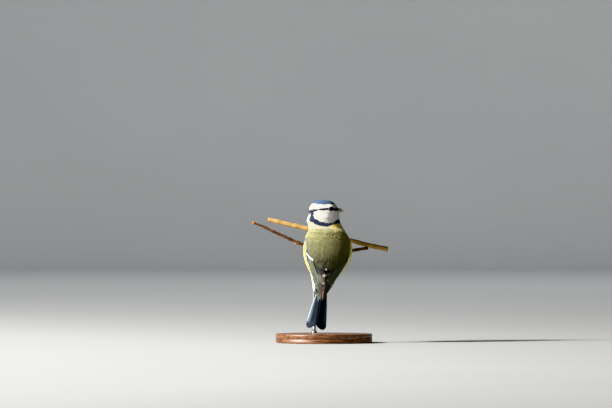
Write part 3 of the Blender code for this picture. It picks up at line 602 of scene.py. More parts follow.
FACE_DEPTH, HEAD_DEPTH, CROWN_DEPTH = 0.22, 0.32, 0.40


def coat_depths(points):
    """The coat is thinnest round eyes and bill and thickest on the body."""
    near = [np.linalg.norm(points - centre, axis=1) - radius for centre, radius in EYES]
    near = np.minimum(np.minimum(*near), np.linalg.norm(points - BILL_ROOT, axis=1) - 2.5)
    head = mix(FACE_DEPTH, HEAD_DEPTH, ease(near / 5.0))
    head = mix(head, CROWN_DEPTH, ease((points[:, 2] - 118) / 5))
    return mix(head, COAT_DEPTH, ease((97 - points[:, 2]) / 14))


skin = outline
skin.name = "skin"
skin.data.name = "skin"
moved_along_normals(skin, -coat_depths(outline_points)[:, None])
settle = skin.modifiers.new("settle", "SMOOTH")
settle.factor = 0.5
settle.iterations = 3
applied(skin)
skin_points, skin_normals = read_vectors(skin), read_vectors(skin, "normals")
skin_tree = BVHTree.FromPolygons([tuple(p) for p in skin_points],
                                 [tuple(p.vertices) for p in skin.data.polygons])

# %% [markdown]
# On the head the feathers radiate from the base of the bill and part round the eyes. On the body they
# run down towards the tail, and on each thigh towards the heel. The directions are blended and then laid
# flat on the skin.

# %% The lie of the feathers, their sizes and their regions
THIGHS = ("thigh_right", "thigh_left")
EYE_CLEAR = 1.95


def eye_distance(points, which):
    """How far a point is from the line of sight of one eye, on that eye's side."""
    centre, way = EYES[which][0], EYE_WAYS[which]
    away = points - centre
    along = away @ way
    flat = away - np.outer(along, way)
    distance = np.linalg.norm(flat, axis=1)
    return np.where(along > -1.5, distance, 99.0), flat


def thigh_shares(points):
    """Membership in either thigh, and the thigh's direction there."""
    member = np.zeros(len(points))
    way = np.zeros((len(points), 3))
    for name in THIGHS:
        work = bmesh.new()
        work.from_mesh(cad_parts[name].data)
        near = BVHTree.FromBMesh(work)
        work.free()
        own = node_points(name)
        top, heel = own[own[:, 2] > own[:, 2].max() - 1].mean(axis=0), own[own[:, 1] > own[:, 1].max() - 1.2].mean(axis=0)
        heel = own[np.argmax((own - own.mean(axis=0)) @ unit(own[np.argmax(own[:, 1])] - own.mean(axis=0)))]
        distance = np.array([near.find_nearest(Vector(p) * MM)[3] / MM for p in points])
        close = 1 - ease((distance - 1.3) / 1.2)
        direction = unit(heel - own.mean(axis=0))
        stronger = close > member
        way[stronger] = direction
        member = np.maximum(member, close)
    return member, way


near_thighs = (skin_points[:, 2] < 74) & (skin_points[:, 1] > 2)
thigh_member = np.zeros(len(skin_points))
thigh_way = np.zeros((len(skin_points), 3))
thigh_member[near_thighs], thigh_way[near_thighs] = thigh_shares(skin_points[near_thighs])


def rows_unit(vectors):
    return vectors / np.maximum(np.linalg.norm(vectors, axis=1), 1e-9)[:, None]


def lie_of_feathers():
    from_bill = rows_unit(skin_points - BILL_ROOT)
    to_tail = np.tile(unit(TAIL_TIP - np.array([0.0, 12.0, 96.0])), (len(skin_points), 1))
    share = ease((skin_points[:, 2] - 97) / 12)[:, None]
    flow = from_bill * share + to_tail * (1 - share)
    flow = flow * (1 - thigh_member[:, None]) + thigh_way * thigh_member[:, None]
    for which in (0, 1):
        distance, flat = eye_distance(skin_points, which)
        push = np.clip(1 - (distance - EYE_CLEAR) / 3.0, 0, 1)
        flow = flow + rows_unit(flat) * push[:, None] * 0.9
    flow = flow - skin_normals * (flow * skin_normals).sum(axis=1)[:, None]
    return rows_unit(flow)


flow = lie_of_feathers()
bill_distance = np.linalg.norm(skin_points - BILL_ROOT, axis=1)
nearest_eye = np.minimum(eye_distance(skin_points, 0)[0], eye_distance(skin_points, 1)[0])
nearest_eye = np.where(skin_points[:, 2] > 100, nearest_eye, 99.0)

# Length of a feather by its place: least round bill and eye, most on flank and rump.
length = mix(1.7, 3.3, ease((bill_distance - 3.5) / 9))
length = np.minimum(length, mix(1.2, 3.3, ease((nearest_eye - 2.2) / 4)))
length = mix(length, 6.4, ease((104 - skin_points[:, 2]) / 16))
length = mix(length, 7.6, ease((66 - skin_points[:, 2]) / 14))
length = mix(length, 4.0, ease((50 - skin_points[:, 2]) / 10))
length = mix(length, 4.2, thigh_member)
neck = ease((112 - skin_points[:, 2]) / 4) * ease((skin_points[:, 2] - 99) / 2)
length = mix(length, np.minimum(length, 2.5), neck)

tips = skin_points + flow * (length * 0.95)[:, None]
tip_to_eye = np.minimum(eye_distance(tips, 0)[0], eye_distance(tips, 1)[0])
clear = (np.minimum(nearest_eye, tip_to_eye) > EYE_CLEAR) | (skin_points[:, 2] < 104)
bill_side = (skin_points - BILL_ROOT) @ HEAD_FORWARD
clear = clear & ((bill_distance > 1.6) | (bill_side < -0.4))

skin_bearing = bearings_of(skin_points)[0]
from_back = np.abs((skin_bearing - 90 + 180) % 360 - 180)
on_back = from_back < 72
over_tail = (skin_points[:, 2] < 48.2) & (from_back < 125)
is_face = ((bill_distance < 6.0) | (nearest_eye < 4.6)) & (skin_points[:, 2] > 103)
is_head = (skin_points[:, 2] > 100) & ~is_face
is_thigh = thigh_member > 0.5
tail_way = unit(TAIL_TIP - ring_centre)
on_trunk = (skin_normals @ tail_way < 0.45) & (skin_points[:, 2] > 36)
REGIONS = {
    "face": is_face & clear,
    "crown": is_head & clear & (skin_points[:, 2] > 113.5),
    "throat": is_head & clear & (skin_points[:, 2] <= 113.5),
    "back": (skin_points[:, 2] <= 100) & on_back & ~is_thigh & on_trunk & ~over_tail,
    "breast": (skin_points[:, 2] <= 100) & (skin_points[:, 2] > 78) & ~on_back,
    "belly": (skin_points[:, 2] <= 78) & ~on_back & ~is_thigh & on_trunk & ~over_tail,
    "thighs": is_thigh,
}


def put_attribute(obj, name, kind, values):
    attribute = obj.data.attributes.new(name, kind, "POINT")
    key = {"FLOAT": "value", "FLOAT_VECTOR": "vector", "FLOAT_COLOR": "color"}[kind]
    attribute.data.foreach_set(key, np.ascontiguousarray(values, np.float32).ravel())


put_attribute(skin, "lie", "FLOAT_VECTOR", flow)
put_attribute(skin, "length", "FLOAT", length)
for name, mask in REGIONS.items():
    put_attribute(skin, name, "FLOAT", mask.astype(float))
    print(name, int(mask.sum()), "skin points")


def with_alpha(colours):
    return np.column_stack([np.clip(colours, 0, 1), np.ones(len(colours))])


# The skin's colour is the plumage's at 0.8 of its brightness: painted shade under the feathers.
put_attribute(skin, "plumage", "FLOAT_COLOR", with_alpha(plumage(skin_points) * 0.8))

# %% [markdown]
# Baking needs a map of the skin. A bird's body is close to a tube, so the bearing round the axis and the
# height make a fair unwrap, and the thighs get a strip of their own below it. Every feather later takes
# a tiny patch at its root's place on this same map.

# %% Unwrap of the skin
STRIP = 0.14


def unwrap(points, member):
    bearing, _ = bearings_of(points)
    tall = np.clip((points[:, 2] - 28.0) / (126.0 - 28.0), 0, 1)
    u, v = 0.01 + 0.98 * bearing / 360, STRIP + (0.99 - STRIP) * tall
    left = (points[:, 0] < 3.2).astype(float)
    angle = (np.degrees(np.arctan2(points[:, 2] - 60, points[:, 0] - mix(9.0, -2.2, left))) % 360) / 360
    u_thigh = 0.01 + 0.47 * angle + 0.5 * left
    v_thigh = 0.005 + (STRIP - 0.02) * np.clip((points[:, 1] - 2) / 20, 0, 1)
    return np.column_stack([np.where(member > 0.5, u_thigh, u), np.where(member > 0.5, v_thigh, v)])


def map_skin():
    corners = np.empty(len(skin.data.loops), np.int32)
    skin.data.loops.foreach_get("vertex_index", corners)
    flat = unwrap(skin_points, thigh_member)[corners]
    starts = np.array([p.loop_start for p in skin.data.polygons])
    sizes = np.array([p.loop_total for p in skin.data.polygons])
    for column, limit in ((0, 0.4),):
        first = np.repeat(flat[starts, column], sizes)
        jump = flat[:, column] - first
        flat[:, column] -= np.where(jump > limit, 0.98, 0) - np.where(jump < -limit, 0.98, 0)
    layer = skin.data.uv_layers.new(name="OFBake")
    layer.data.foreach_set("uv", flat.astype(np.float32).ravel())


map_skin()
print("skin", len(skin.data.vertices), "points, feather length",
      round(float(length.min()), 1), "to", round(float(length.max()), 1), "mm")

# %% [markdown]
# Plumage needs shaders that know a feather from its root to its tip. Each vane carries a "leaf" attribute,
# with its place across and along, and a "plumage" colour. One small builder makes the materials: barbs
# are fine slanting lines across the vane, the base of a small feather is grey down, and each feather
# differs a little in tone.

# %% Node helpers
def socket(node, name):
    for item in node:
        if item.name == name and item.enabled:
            return item
    return node[name]


def add_node(tree, kind, inputs=None, **settings):
    node = tree.nodes.new(kind)
    for key, value in settings.items():
        setattr(node, key, value)
    for name, value in (inputs or {}).items():
        target = node.inputs[name] if isinstance(name, int) else socket(node.inputs, name)
        if isinstance(value, bpy.types.NodeSocket):
            tree.links.new(value, target)
        else:
            target.default_value = value
    return node


def new_material(name, roughness, **fixed):
    material = bpy.data.materials.new(name)
    material.use_nodes = True
    shader = material.node_tree.nodes["Principled BSDF"]
    shader.inputs["Roughness"].default_value = roughness
    for key, value in fixed.items():
        shader.inputs[key.replace("_", " ")].default_value = value
    return material, material.node_tree, shader


def attribute_of(tree, name, output="Color"):
    return add_node(tree, "ShaderNodeAttribute", attribute_name=name).outputs[output]


def maths(tree, operation, a, b=0.0, clamp=False):
    node = add_node(tree, "ShaderNodeMath", {0: a, 1: b}, operation=operation, use_clamp=clamp)
    return node.outputs[0]


def blend_colours(tree, amount, a, b, kind="MIX"):
    node = tree.nodes.new("ShaderNodeMix")
    node.data_type = "RGBA"
    node.blend_type = kind
    for index, value in ((0, amount), (6, a), (7, b)):
        if isinstance(value, bpy.types.NodeSocket):
            tree.links.new(value, node.inputs[index])
        else:
            node.inputs[index].default_value = value
    return node.outputs[2]


def noise(tree, scale, detail=2.0, roughness=0.5, vector=None, output="Fac"):
    if vector is None:
        vector = add_node(tree, "ShaderNodeTexCoord").outputs["Object"]
    node = add_node(tree, "ShaderNodeTexNoise",
                    {"Vector": vector, "Scale": scale, "Detail": detail, "Roughness": roughness})
    return node.outputs[output]


def raised(tree, shader, height, strength, distance):
    bump = add_node(tree, "ShaderNodeBump", {"Height": height, "Strength": strength, "Distance": distance})
    tree.links.new(bump.outputs["Normal"], shader.inputs["Normal"])


# %% [markdown]
# Barbs leave the shaft at a slant, so their lines run along the sum of "how far along" and "how far from
# the shaft". A wave of that sum is both a faint colour change and a bump.

# %% Feather material
def feather_material(name, barbs, barb_depth, down_grey, gloss, sheen, shine):
    material, tree, shader = new_material(
        name, gloss, Sheen_Weight=sheen, Sheen_Roughness=0.45, Specular_IOR_Level=shine)
    colour = attribute_of(tree, "plumage")
    leaf = add_node(tree, "ShaderNodeSeparateXYZ", {0: attribute_of(tree, "leaf", "Vector")})
    across, along, shade = leaf.outputs[0], leaf.outputs[1], leaf.outputs[2]
    slant = maths(tree, "ADD", maths(tree, "MULTIPLY", along, barbs),
                  maths(tree, "MULTIPLY", maths(tree, "ABSOLUTE", across), -barbs * 0.28))
    line = maths(tree, "SINE", maths(tree, "MULTIPLY", slant, 2 * math.pi))
    patchy = noise(tree, 900.0, 3.0, 0.6)
    tone = maths(tree, "ADD", maths(tree, "MULTIPLY", shade, 0.26),
                 maths(tree, "MULTIPLY", patchy, 0.14))
    tone = maths(tree, "ADD", maths(tree, "ADD", tone, 0.80), maths(tree, "MULTIPLY", line, 0.035))
    grey = add_node(tree, "ShaderNodeCombineColor", {0: tone, 1: tone, 2: tone}).outputs[0]
    tinted = blend_colours(tree, 1.0, colour, grey, "MULTIPLY")
    base = add_node(tree, "ShaderNodeMapRange", {"Value": along, "From Min": 0.05, "From Max": 0.55,
                                                 "To Min": down_grey, "To Max": 0.0}).outputs[0]
    tinted = blend_colours(tree, base, tinted, (0.05, 0.055, 0.065, 1.0))
    tree.links.new(tinted, shader.inputs["Base Color"])
    raised(tree, shader, line, barb_depth, 0.00006)
    return material


small_plumage = feather_material("small_plumage", 14.0, 0.10, 0.16, 0.80, 0.12, 0.2)
long_plumage = feather_material("long_plumage", 58.0, 0.16, 0.0, 0.72, 0.02, 0.12)


def skin_material():
    material, tree, shader = new_material("down_under_feathers", 0.9, Sheen_Weight=0.4)
    patchy = noise(tree, 700.0, 4.0, 0.65)
    grey = add_node(tree, "ShaderNodeMapRange", {"Value": patchy, "To Min": 0.55, "To Max": 1.15}).outputs[0]
    grey = add_node(tree, "ShaderNodeCombineColor", {0: grey, 1: grey, 2: grey}).outputs[0]
    tree.links.new(blend_colours(tree, 1.0, attribute_of(tree, "plumage"), grey, "MULTIPLY"),
                   shader.inputs["Base Color"])
    raised(tree, shader, noise(tree, 2600.0, 3.0, 0.7), 0.6, 0.0002)
    return material


hand_over(skin, "body_feathers", skin_material(), "head", "neck", "torso", "thigh_left", "thigh_right")

# %% [markdown]
# One small feather is modelled once: a thin closed blade, cupped like a spoon, whose tip is cut into a
# fringe of barbs. It has 72 triangles, because thousands of copies follow. Geometry Nodes strew its
# copies over the skin, which suits plumage: spacing, slope and size stay named inputs, and the seed is fixed.

# %% One small feather
FRINGE = (0.68, 0.95, 0.76, 1.0, 0.78, 0.97, 0.70)
BLADE_ROWS = 3
BLADE_WIDTHS = (0.34, 0.84, 1.0, 0.70)
BLADE_THICK = 0.05
CUP, DROOP = 0.16, 0.15


def small_feather():
    columns = len(FRINGE)
    tops, leaves = [], []
    for row in range(BLADE_ROWS + 1):
        t = row / BLADE_ROWS
        for column, reach in enumerate(FRINGE):
            u = 2 * column / (columns - 1) - 1
            rim = row in (0, BLADE_ROWS) or column in (0, columns - 1)
            y = t * (reach if row == BLADE_ROWS else mix(1.0, 0.94, u * u))
            x = 0.5 * u * BLADE_WIDTHS[row]
            z = -CUP * x * x * 2 - DROOP * t * t
            tops.append((x, y, z, rim))
            leaves.append((u, y, 0.0))
    points = [(x, y, z + (0 if rim else BLADE_THICK / 2)) for x, y, z, rim in tops]
    under = {}
    for i, (x, y, z, rim) in enumerate(tops):
        under[i] = i
        if not rim:
            under[i] = len(points)
            points.append((x, y, z - BLADE_THICK / 2))
            leaves.append(leaves[i])
    faces = []
    for row in range(BLADE_ROWS):
        for column in range(columns - 1):
            a = row * columns + column
            quad = (a, a + 1, a + 1 + columns, a + columns)
            faces.append(quad)
            faces.append(tuple(under[i] for i in reversed(quad)))
    obj = mesh_object("small_feather", points, faces)
    put_attribute(obj, "leaf", "FLOAT_VECTOR", leaves)
    return obj


pattern_feather = small_feather()
print("one feather has", sum(len(p.vertices) - 2 for p in pattern_feather.data.polygons), "triangles")

# %% Geometry Nodes: a coat of small feathers
SOCKETS = (
    ("Region", "NodeSocketString"), ("Spacing", "NodeSocketFloat"), ("Slope", "NodeSocketFloat"),
    ("Unevenness", "NodeSocketFloat"), ("Breadth", "NodeSocketFloat"), ("Sink", "NodeSocketFloat"),
    ("Seed", "NodeSocketInt"), ("Feather", "NodeSocketObject"), ("Finish", "NodeSocketMaterial"),
)


def coat_tree():
    tree = bpy.data.node_groups.new("coat_of_feathers", "GeometryNodeTree")
    tree.interface.new_socket("Geometry", in_out="INPUT", socket_type="NodeSocketGeometry")
    for name, kind in SOCKETS:
        tree.interface.new_socket(name, in_out="INPUT", socket_type=kind)
    tree.interface.new_socket("Geometry", in_out="OUTPUT", socket_type="NodeSocketGeometry")
    given = add_node(tree, "NodeGroupInput").outputs

    region = add_node(tree, "GeometryNodeInputNamedAttribute", {"Name": given["Region"]}, data_type="FLOAT")
    strewn = add_node(tree, "GeometryNodeDistributePointsOnFaces",
                      {"Mesh": given["Geometry"], "Distance Min": given["Spacing"], "Density Max": 9.0e7,
                       "Density Factor": region.outputs[0], "Seed": given["Seed"]},
                      distribute_method="POISSON")
    lie = add_node(tree, "GeometryNodeInputNamedAttribute", {"Name": "lie"}, data_type="FLOAT_VECTOR")
    long_ = add_node(tree, "GeometryNodeInputNamedAttribute", {"Name": "length"}, data_type="FLOAT")

    def chance(low, high, seed):
        amount = add_node(tree, "FunctionNodeRandomValue", {2: low, 3: high, 8: seed}, data_type="FLOAT")
        return amount.outputs[1]

    facing = add_node(tree, "FunctionNodeAlignRotationToVector",
                      {"Vector": strewn.outputs["Normal"]}, axis="Z")
    facing = add_node(tree, "FunctionNodeAlignRotationToVector",
                      {"Rotation": facing.outputs[0], "Vector": lie.outputs[0]}, axis="Y", pivot_axis="Z")
    wild = add_node(tree, "ShaderNodeMath", {0: given["Unevenness"], 1: -1.0}, operation="MULTIPLY")
    slope = add_node(tree, "ShaderNodeMath",
                     {0: given["Slope"], 1: chance(wild.outputs[0], given["Unevenness"], 3)}, operation="ADD")
    yaw = add_node(tree, "ShaderNodeMath",
                   {0: chance(wild.outputs[0], given["Unevenness"], 5), 1: 2.2}, operation="MULTIPLY")
    roll = chance(wild.outputs[0], given["Unevenness"], 7)
    swing = add_node(tree, "ShaderNodeCombineXYZ", {0: slope.outputs[0], 1: roll, 2: yaw.outputs[0]})
    turned = add_node(tree, "FunctionNodeRotateRotation",
                      {"Rotation": facing.outputs[0],
                       "Rotate By": add_node(tree, "FunctionNodeEulerToRotation",
                                             {0: swing.outputs[0]}).outputs[0]},
                      rotation_space="LOCAL")

    size = add_node(tree, "ShaderNodeMath", {0: long_.outputs[0], 1: chance(0.84, 1.14, 11)},
                    operation="MULTIPLY").outputs[0]
    broad = add_node(tree, "ShaderNodeMath", {0: size, 1: given["Breadth"]}, operation="MULTIPLY")
    scale = add_node(tree, "ShaderNodeCombineXYZ", {0: broad.outputs[0], 1: size, 2: size})

    place = add_node(tree, "GeometryNodeInputPosition").outputs[0]
    root = add_node(tree, "GeometryNodeStoreNamedAttribute",
                    {"Geometry": strewn.outputs["Points"], "Name": "root", "Value": place},
                    data_type="FLOAT_VECTOR", domain="POINT")
    tone = add_node(tree, "GeometryNodeStoreNamedAttribute",
                    {"Geometry": root.outputs[0], "Name": "tone", "Value": chance(0.0, 1.0, 13)},
                    data_type="FLOAT", domain="POINT")
    sunk = add_node(tree, "ShaderNodeVectorMath",
                    {0: strewn.outputs["Normal"], "Scale": given["Sink"]}, operation="SCALE")
    lowered = add_node(tree, "GeometryNodeSetPosition",
                       {"Geometry": tone.outputs[0], "Offset": sunk.outputs[0]})
    blade = add_node(tree, "GeometryNodeObjectInfo", {"Object": given["Feather"]})
    placed = add_node(tree, "GeometryNodeInstanceOnPoints",
                      {"Points": lowered.outputs[0], "Instance": blade.outputs["Geometry"],
                       "Rotation": turned.outputs[0], "Scale": scale.outputs[0]})
    real = add_node(tree, "GeometryNodeRealizeInstances", {"Geometry": placed.outputs[0]})
    finished = add_node(tree, "GeometryNodeSetMaterial",
                        {"Geometry": real.outputs[0], "Material": given["Finish"]})
    result = add_node(tree, "NodeGroupOutput")
    tree.links.new(finished.outputs[0], result.inputs[0])
    return tree


COAT_TREE = coat_tree()
SOCKET_IDS = {item.name: item.identifier for item in COAT_TREE.interface.items_tree
              if item.in_out == "INPUT"}

# %% [markdown]
# After a coat has been made real, each feather is coloured as one thing: by the marking at the place
# where its tip shows, which gives each edge the ragged step that real plumage has. The same loop gives
# each feather its patch on the baking map, at its root.

# %% Growing the coats
PATCH = 0.003
SOFT_LIGHT = 0.55
skin_near = KDTree(len(skin_points))
for index, point in enumerate(skin_points):
    skin_near.insert(Vector(point), index)
skin_near.balance()


def read_attribute(mesh, name, width):
    values = np.empty(len(mesh.vertices) * width, np.float32)
    key = "value" if width == 1 else "vector"
    mesh.attributes[name].data.foreach_get(key, values)
    return values.astype(float).reshape(-1, width) if width > 1 else values.astype(float)


def streaks(points):
    """Long soft bands of lighter and darker plumage that follow the lie of the back."""
    random = np.random.default_rng(77)
    total = np.zeros(len(points))
    for step in range(14):
        wave = random.normal(0.0, 1.0, 3) * ([1.5, 1.0, 0.22] if step < 6 else [3.6, 2.4, 0.35])
        total += np.sin(points @ wave + random.uniform(0, 2 * math.pi))
    return total * 0.036


def finish_coat(obj, colour_reach, raggedness):
    mesh = obj.data
    roots = read_attribute(mesh, "root", 3) / MM
    leaf = read_attribute(mesh, "leaf", 3)
    tone = read_attribute(mesh, "tone", 1)
    per_feather = len(pattern_feather.data.vertices)
    count = len(roots) // per_feather
    points = np.empty(len(mesh.vertices) * 3, np.float32)
    mesh.vertices.foreach_get("co", points)
    points = points.reshape(count, per_feather, 3).astype(float) / MM
    first = roots.reshape(count, per_feather, 3)[:, 0]
    tip = points[:, BLADE_ROWS * len(FRINGE) + len(FRINGE) // 2]
    random = np.random.default_rng(count)
    seen = mix(first, tip, colour_reach) + random.normal(0.0, raggedness, (count, 3)) * [1.0, 1.0, 2.0]
    colours = plumage(seen, 0.3)
    wobble = 1 + random.normal(0.0, 0.02, (count, 3)) + random.normal(0.0, 0.05, (count, 1))
    wobble = wobble + streaks(first)[:, None] * (first[:, 2:] < 103)
    colours = with_alpha(np.clip(colours * wobble, 0, 1))
    put_attribute(obj, "plumage", "FLOAT_COLOR", np.repeat(colours, per_feather, axis=0))
    leaf[:, 2] = tone
    mesh.attributes["leaf"].data.foreach_set("vector", leaf.astype(np.float32).ravel())
    member = np.zeros(count) if "thigh" not in obj.name else np.ones(count)
    home = np.repeat(unwrap(first, member), per_feather, axis=0)
    patch = home + np.column_stack([leaf[:, 0] * 0.5, leaf[:, 1] - 0.5]) * PATCH
    corners = np.empty(len(mesh.loops), np.int32)
    mesh.loops.foreach_get("vertex_index", corners)
    layer = mesh.uv_layers.new(name="OFBake")
    layer.data.foreach_set("uv", patch[corners].astype(np.float32).ravel())
    for name in ("root", "tone"):
        mesh.attributes.remove(mesh.attributes[name])
    mesh.shade_smooth()
    soften_light(mesh, first, per_feather)


def soften_light(mesh, roots, per_feather):
    """Leans each feather's shading towards the body's own, because real barbs merge into one soft surface."""
    ground = np.array([skin_normals[skin_near.find(Vector(root))[1]] for root in roots])
    ground = np.repeat(ground, per_feather, axis=0)
    own = np.empty(len(mesh.vertices) * 3, np.float32)
    mesh.vertex_normals.foreach_get("vector", own)
    own = own.reshape(-1, 3).astype(float)
    facing = (own * ground).sum(axis=1)[:, None]
    blend = rows_unit(mix(own, ground, SOFT_LIGHT))
    mesh.normals_split_custom_set_from_vertices(np.where(facing > 0.1, blend, own).tolist())


def grow_coat(name, region, spacing, slope, unevenness, breadth, sink, seed, reach, raggedness, ground=skin):
    base = bpy.data.objects.new(name, ground.data.copy())
    scene.collection.objects.link(base)
    grower = base.modifiers.new("coat", "NODES")
    grower.node_group = COAT_TREE
    values = {"Region": region, "Spacing": spacing * MM, "Slope": math.radians(slope),
              "Unevenness": math.radians(unevenness), "Breadth": breadth, "Sink": -sink * MM,
              "Seed": seed, "Feather": pattern_feather, "Finish": small_plumage}
    for key, value in values.items():
        grower[SOCKET_IDS[key]] = value
    applied(base)
    base.data.name = name
    finish_coat(base, reach, raggedness)
    triangles = sum(len(p.vertices) - 2 for p in base.data.polygons)
    print(name, len(base.data.vertices) // len(pattern_feather.data.vertices), "feathers", triangles, "triangles")
    return base


HEAD_SLOT, BODY_SLOT = "head_feathers", "body_feathers"
coats = [
    (grow_coat("face_feathers", "face", 0.42, 12, 4, 0.46, 0.05, 3, 0.75, 0.05), HEAD_SLOT, ("head",)),
    (grow_coat("crown_feathers", "crown", 0.62, 11, 4, 0.44, 0.08, 4, 0.85, 0.08), HEAD_SLOT, ("head",)),
    (grow_coat("throat_feathers", "throat", 0.62, 12, 3, 0.46, 0.05, 14, 0.85, 0.08), HEAD_SLOT, ("head", "neck")),
    (grow_coat("back_feathers", "back", 0.92, 6, 2.5, 0.40, 0.20, 5, 0.7, 0.35), BODY_SLOT, ("torso",)),
    (grow_coat("breast_feathers", "breast", 0.95, 7, 3, 0.38, 0.20, 6, 0.7, 0.3), BODY_SLOT, ("torso",)),
    (grow_coat("belly_feathers", "belly", 0.95, 7, 3, 0.38, 0.20, 16, 0.7, 0.3), BODY_SLOT, ("torso",)),
    (grow_coat("thigh_feathers", "thighs", 0.8, 10, 4, 0.42, 0.15, 7, 0.7, 0.15), BODY_SLOT,
     ("thigh_left", "thigh_right")),
]

# %% [markdown]
# Long feathers are laid by address on the outline, many points at a time. Sections of the trunk lean with
# the bird, as ribs do, so a feather's address is a level and an angle on such a leaning section: 0 degrees
# is the flank and 90 the middle of the back, counted the same way on either side.

# %% Addresses for long feathers
BACK_DEPTH = ((30, 0.4), (36, 1.5), (46, 5.2), (55, 9.4), (62, 12.4), (70, 15.3), (78, 16.6), (94, 15.2))
SIDE_REACH = ((30, 2.1), (36, 4.0), (46, 6.8), (54, 9.3), (62, 13.6), (70, 18.2), (78, 20.4), (94, 18.1))


def chart(z, bearing):
    row = np.clip((z - CHART_LOW) / CHART_STEP, 0, len(heights) - 1.001)
    column = (bearing / 360 * BEARINGS) % BEARINGS
    r, c = row.astype(int), column.astype(int) % BEARINGS
    fr, fc = row - r, column - column.astype(int)
    c1 = (c + 1) % BEARINGS
    low = mix(radii[r, c], radii[r, c1], fc)
    high = mix(radii[r + 1, c], radii[r + 1, c1], fc)
    radius, angle = mix(low, high, fr), np.radians(bearing)
    x = np.interp(z, heights, axis[:, 0]) + radius * np.cos(angle)
    y = np.interp(z, heights, axis[:, 1]) - radius * np.sin(angle)
    return np.stack([x, y, z], axis=-1)


def spots(z, bearing, lift):
    """Many points over the outline, with their outward directions."""
    z, bearing, lift = np.broadcast_arrays(*(np.asarray(a, float) for a in (z, bearing, lift)))
    up = chart(z + 1.5, bearing) - chart(z - 1.5, bearing)
    sweep_ = chart(z, bearing + 6) - chart(z, bearing - 6)
    normal = np.cross(up, sweep_)
    normal /= np.maximum(np.linalg.norm(normal, axis=-1, keepdims=True), 1e-9)
    outwards = chart(z, bearing) - np.stack([np.interp(z, heights, axis[:, 0]),
                                             np.interp(z, heights, axis[:, 1]), z], axis=-1)
    flip = np.sign((normal * outwards).sum(axis=-1, keepdims=True))
    normal = normal * np.where(flip == 0, 1, flip)
    return chart(z, bearing) + normal * lift[..., None], normal


def wing_spots(side, level, degrees, lift):
    a = np.radians(degrees)
    depth, wide = np.interp(level, *zip(*BACK_DEPTH)), np.interp(level, *zip(*SIDE_REACH))
    z = level + math.sin(SECTION_LEAN) * depth * np.sin(a)
    bearing = np.degrees(np.arctan2(depth * math.cos(SECTION_LEAN) * np.sin(a), wide * np.cos(a)))
    bearing = bearing if side == "right" else 180 - bearing
    return spots(z, bearing - TIP_SHIFT * ease((52 - z) / 9), lift)


# %% [markdown]
# A flight feather is one blade: a stiff shaft, a narrow outer web and a broad inner web, each a little
# cambered, with a rounded or pointed tip. The blade is a closed grid, thin at its edges and ridged along
# the shaft. Its colours are set point by point, because the edges of each web are paler than its middle.

# %% One long feather
WEB = np.array([-1.0, -0.84, -0.55, -0.2, -0.05, 0.05, 0.2, 0.55, 0.84, 1.0])
LENGTHWISE = 1 - (1 - np.linspace(0, 1, 15)) ** 1.35
POINTED = ((0, 0.45), (0.2, 0.85), (0.5, 1.0), (0.78, 0.86), (0.92, 0.58), (1, 0.16))
ROUNDED = ((0, 0.5), (0.3, 0.92), (0.7, 1.0), (0.88, 0.86), (0.96, 0.6), (1, 0.22))
SQUARE = ((0, 0.5), (0.35, 0.86), (0.75, 1.0), (0.93, 0.94), (0.985, 0.7), (1, 0.4))
THIN = 0.16
SHAFT = 0.16


def web_half(outline, v):
    return np.interp(v, *zip(*outline))


def blade(points, normals, colours):
    """A closed vane from a grid of points, with its colours: a dict that joins others in one mesh."""
    rows, columns = points.shape[:2]
    ridge = np.exp(-(WEB / 0.09) ** 2) * SHAFT
    fade = np.linspace(1.0, 0.3, rows)[:, None]
    thick = (THIN * (1 - 0.7 * WEB ** 2))[None, :] + ridge[None, :] * fade
    top = points + normals * (thick * 0.5 + ridge[None, :] * fade * 0.5)[..., None]
    bottom = points - normals * (thick * 0.5)[..., None]
    grid = np.arange(rows * columns).reshape(rows, columns)
    a, b, c, d = grid[:-1, :-1], grid[:-1, 1:], grid[1:, 1:], grid[1:, :-1]
    upper = np.stack([a, b, c, d], axis=-1).reshape(-1, 4)
    lower = upper[:, ::-1] + rows * columns
    edge = np.concatenate([grid[0, :], grid[1:, -1], grid[-1, -2::-1], grid[-2:0:-1, 0]])
    after = np.roll(edge, -1)
    rim = np.stack([after, edge, edge + rows * columns, after + rows * columns], axis=-1)
    leaf = np.stack(np.broadcast_arrays(WEB[None, :], LENGTHWISE[:rows, None], 0.5), axis=-1).reshape(-1, 3)
    across, along = points[rows // 2, -1] - points[rows // 2, 0], points[-1, columns // 2] - points[0, columns // 2]
    faces = np.concatenate([upper, lower, rim])
    if np.dot(np.cross(across, along), normals[rows // 2, columns // 2]) < 0:
        faces = faces[:, ::-1]
    return {
        "points": np.concatenate([top.reshape(-1, 3), bottom.reshape(-1, 3)]),
        "faces": faces,
        "colours": np.concatenate([colours.reshape(-1, 3)] * 2),
        "leaf": np.concatenate([leaf, leaf]),
    }


CELLS = 9


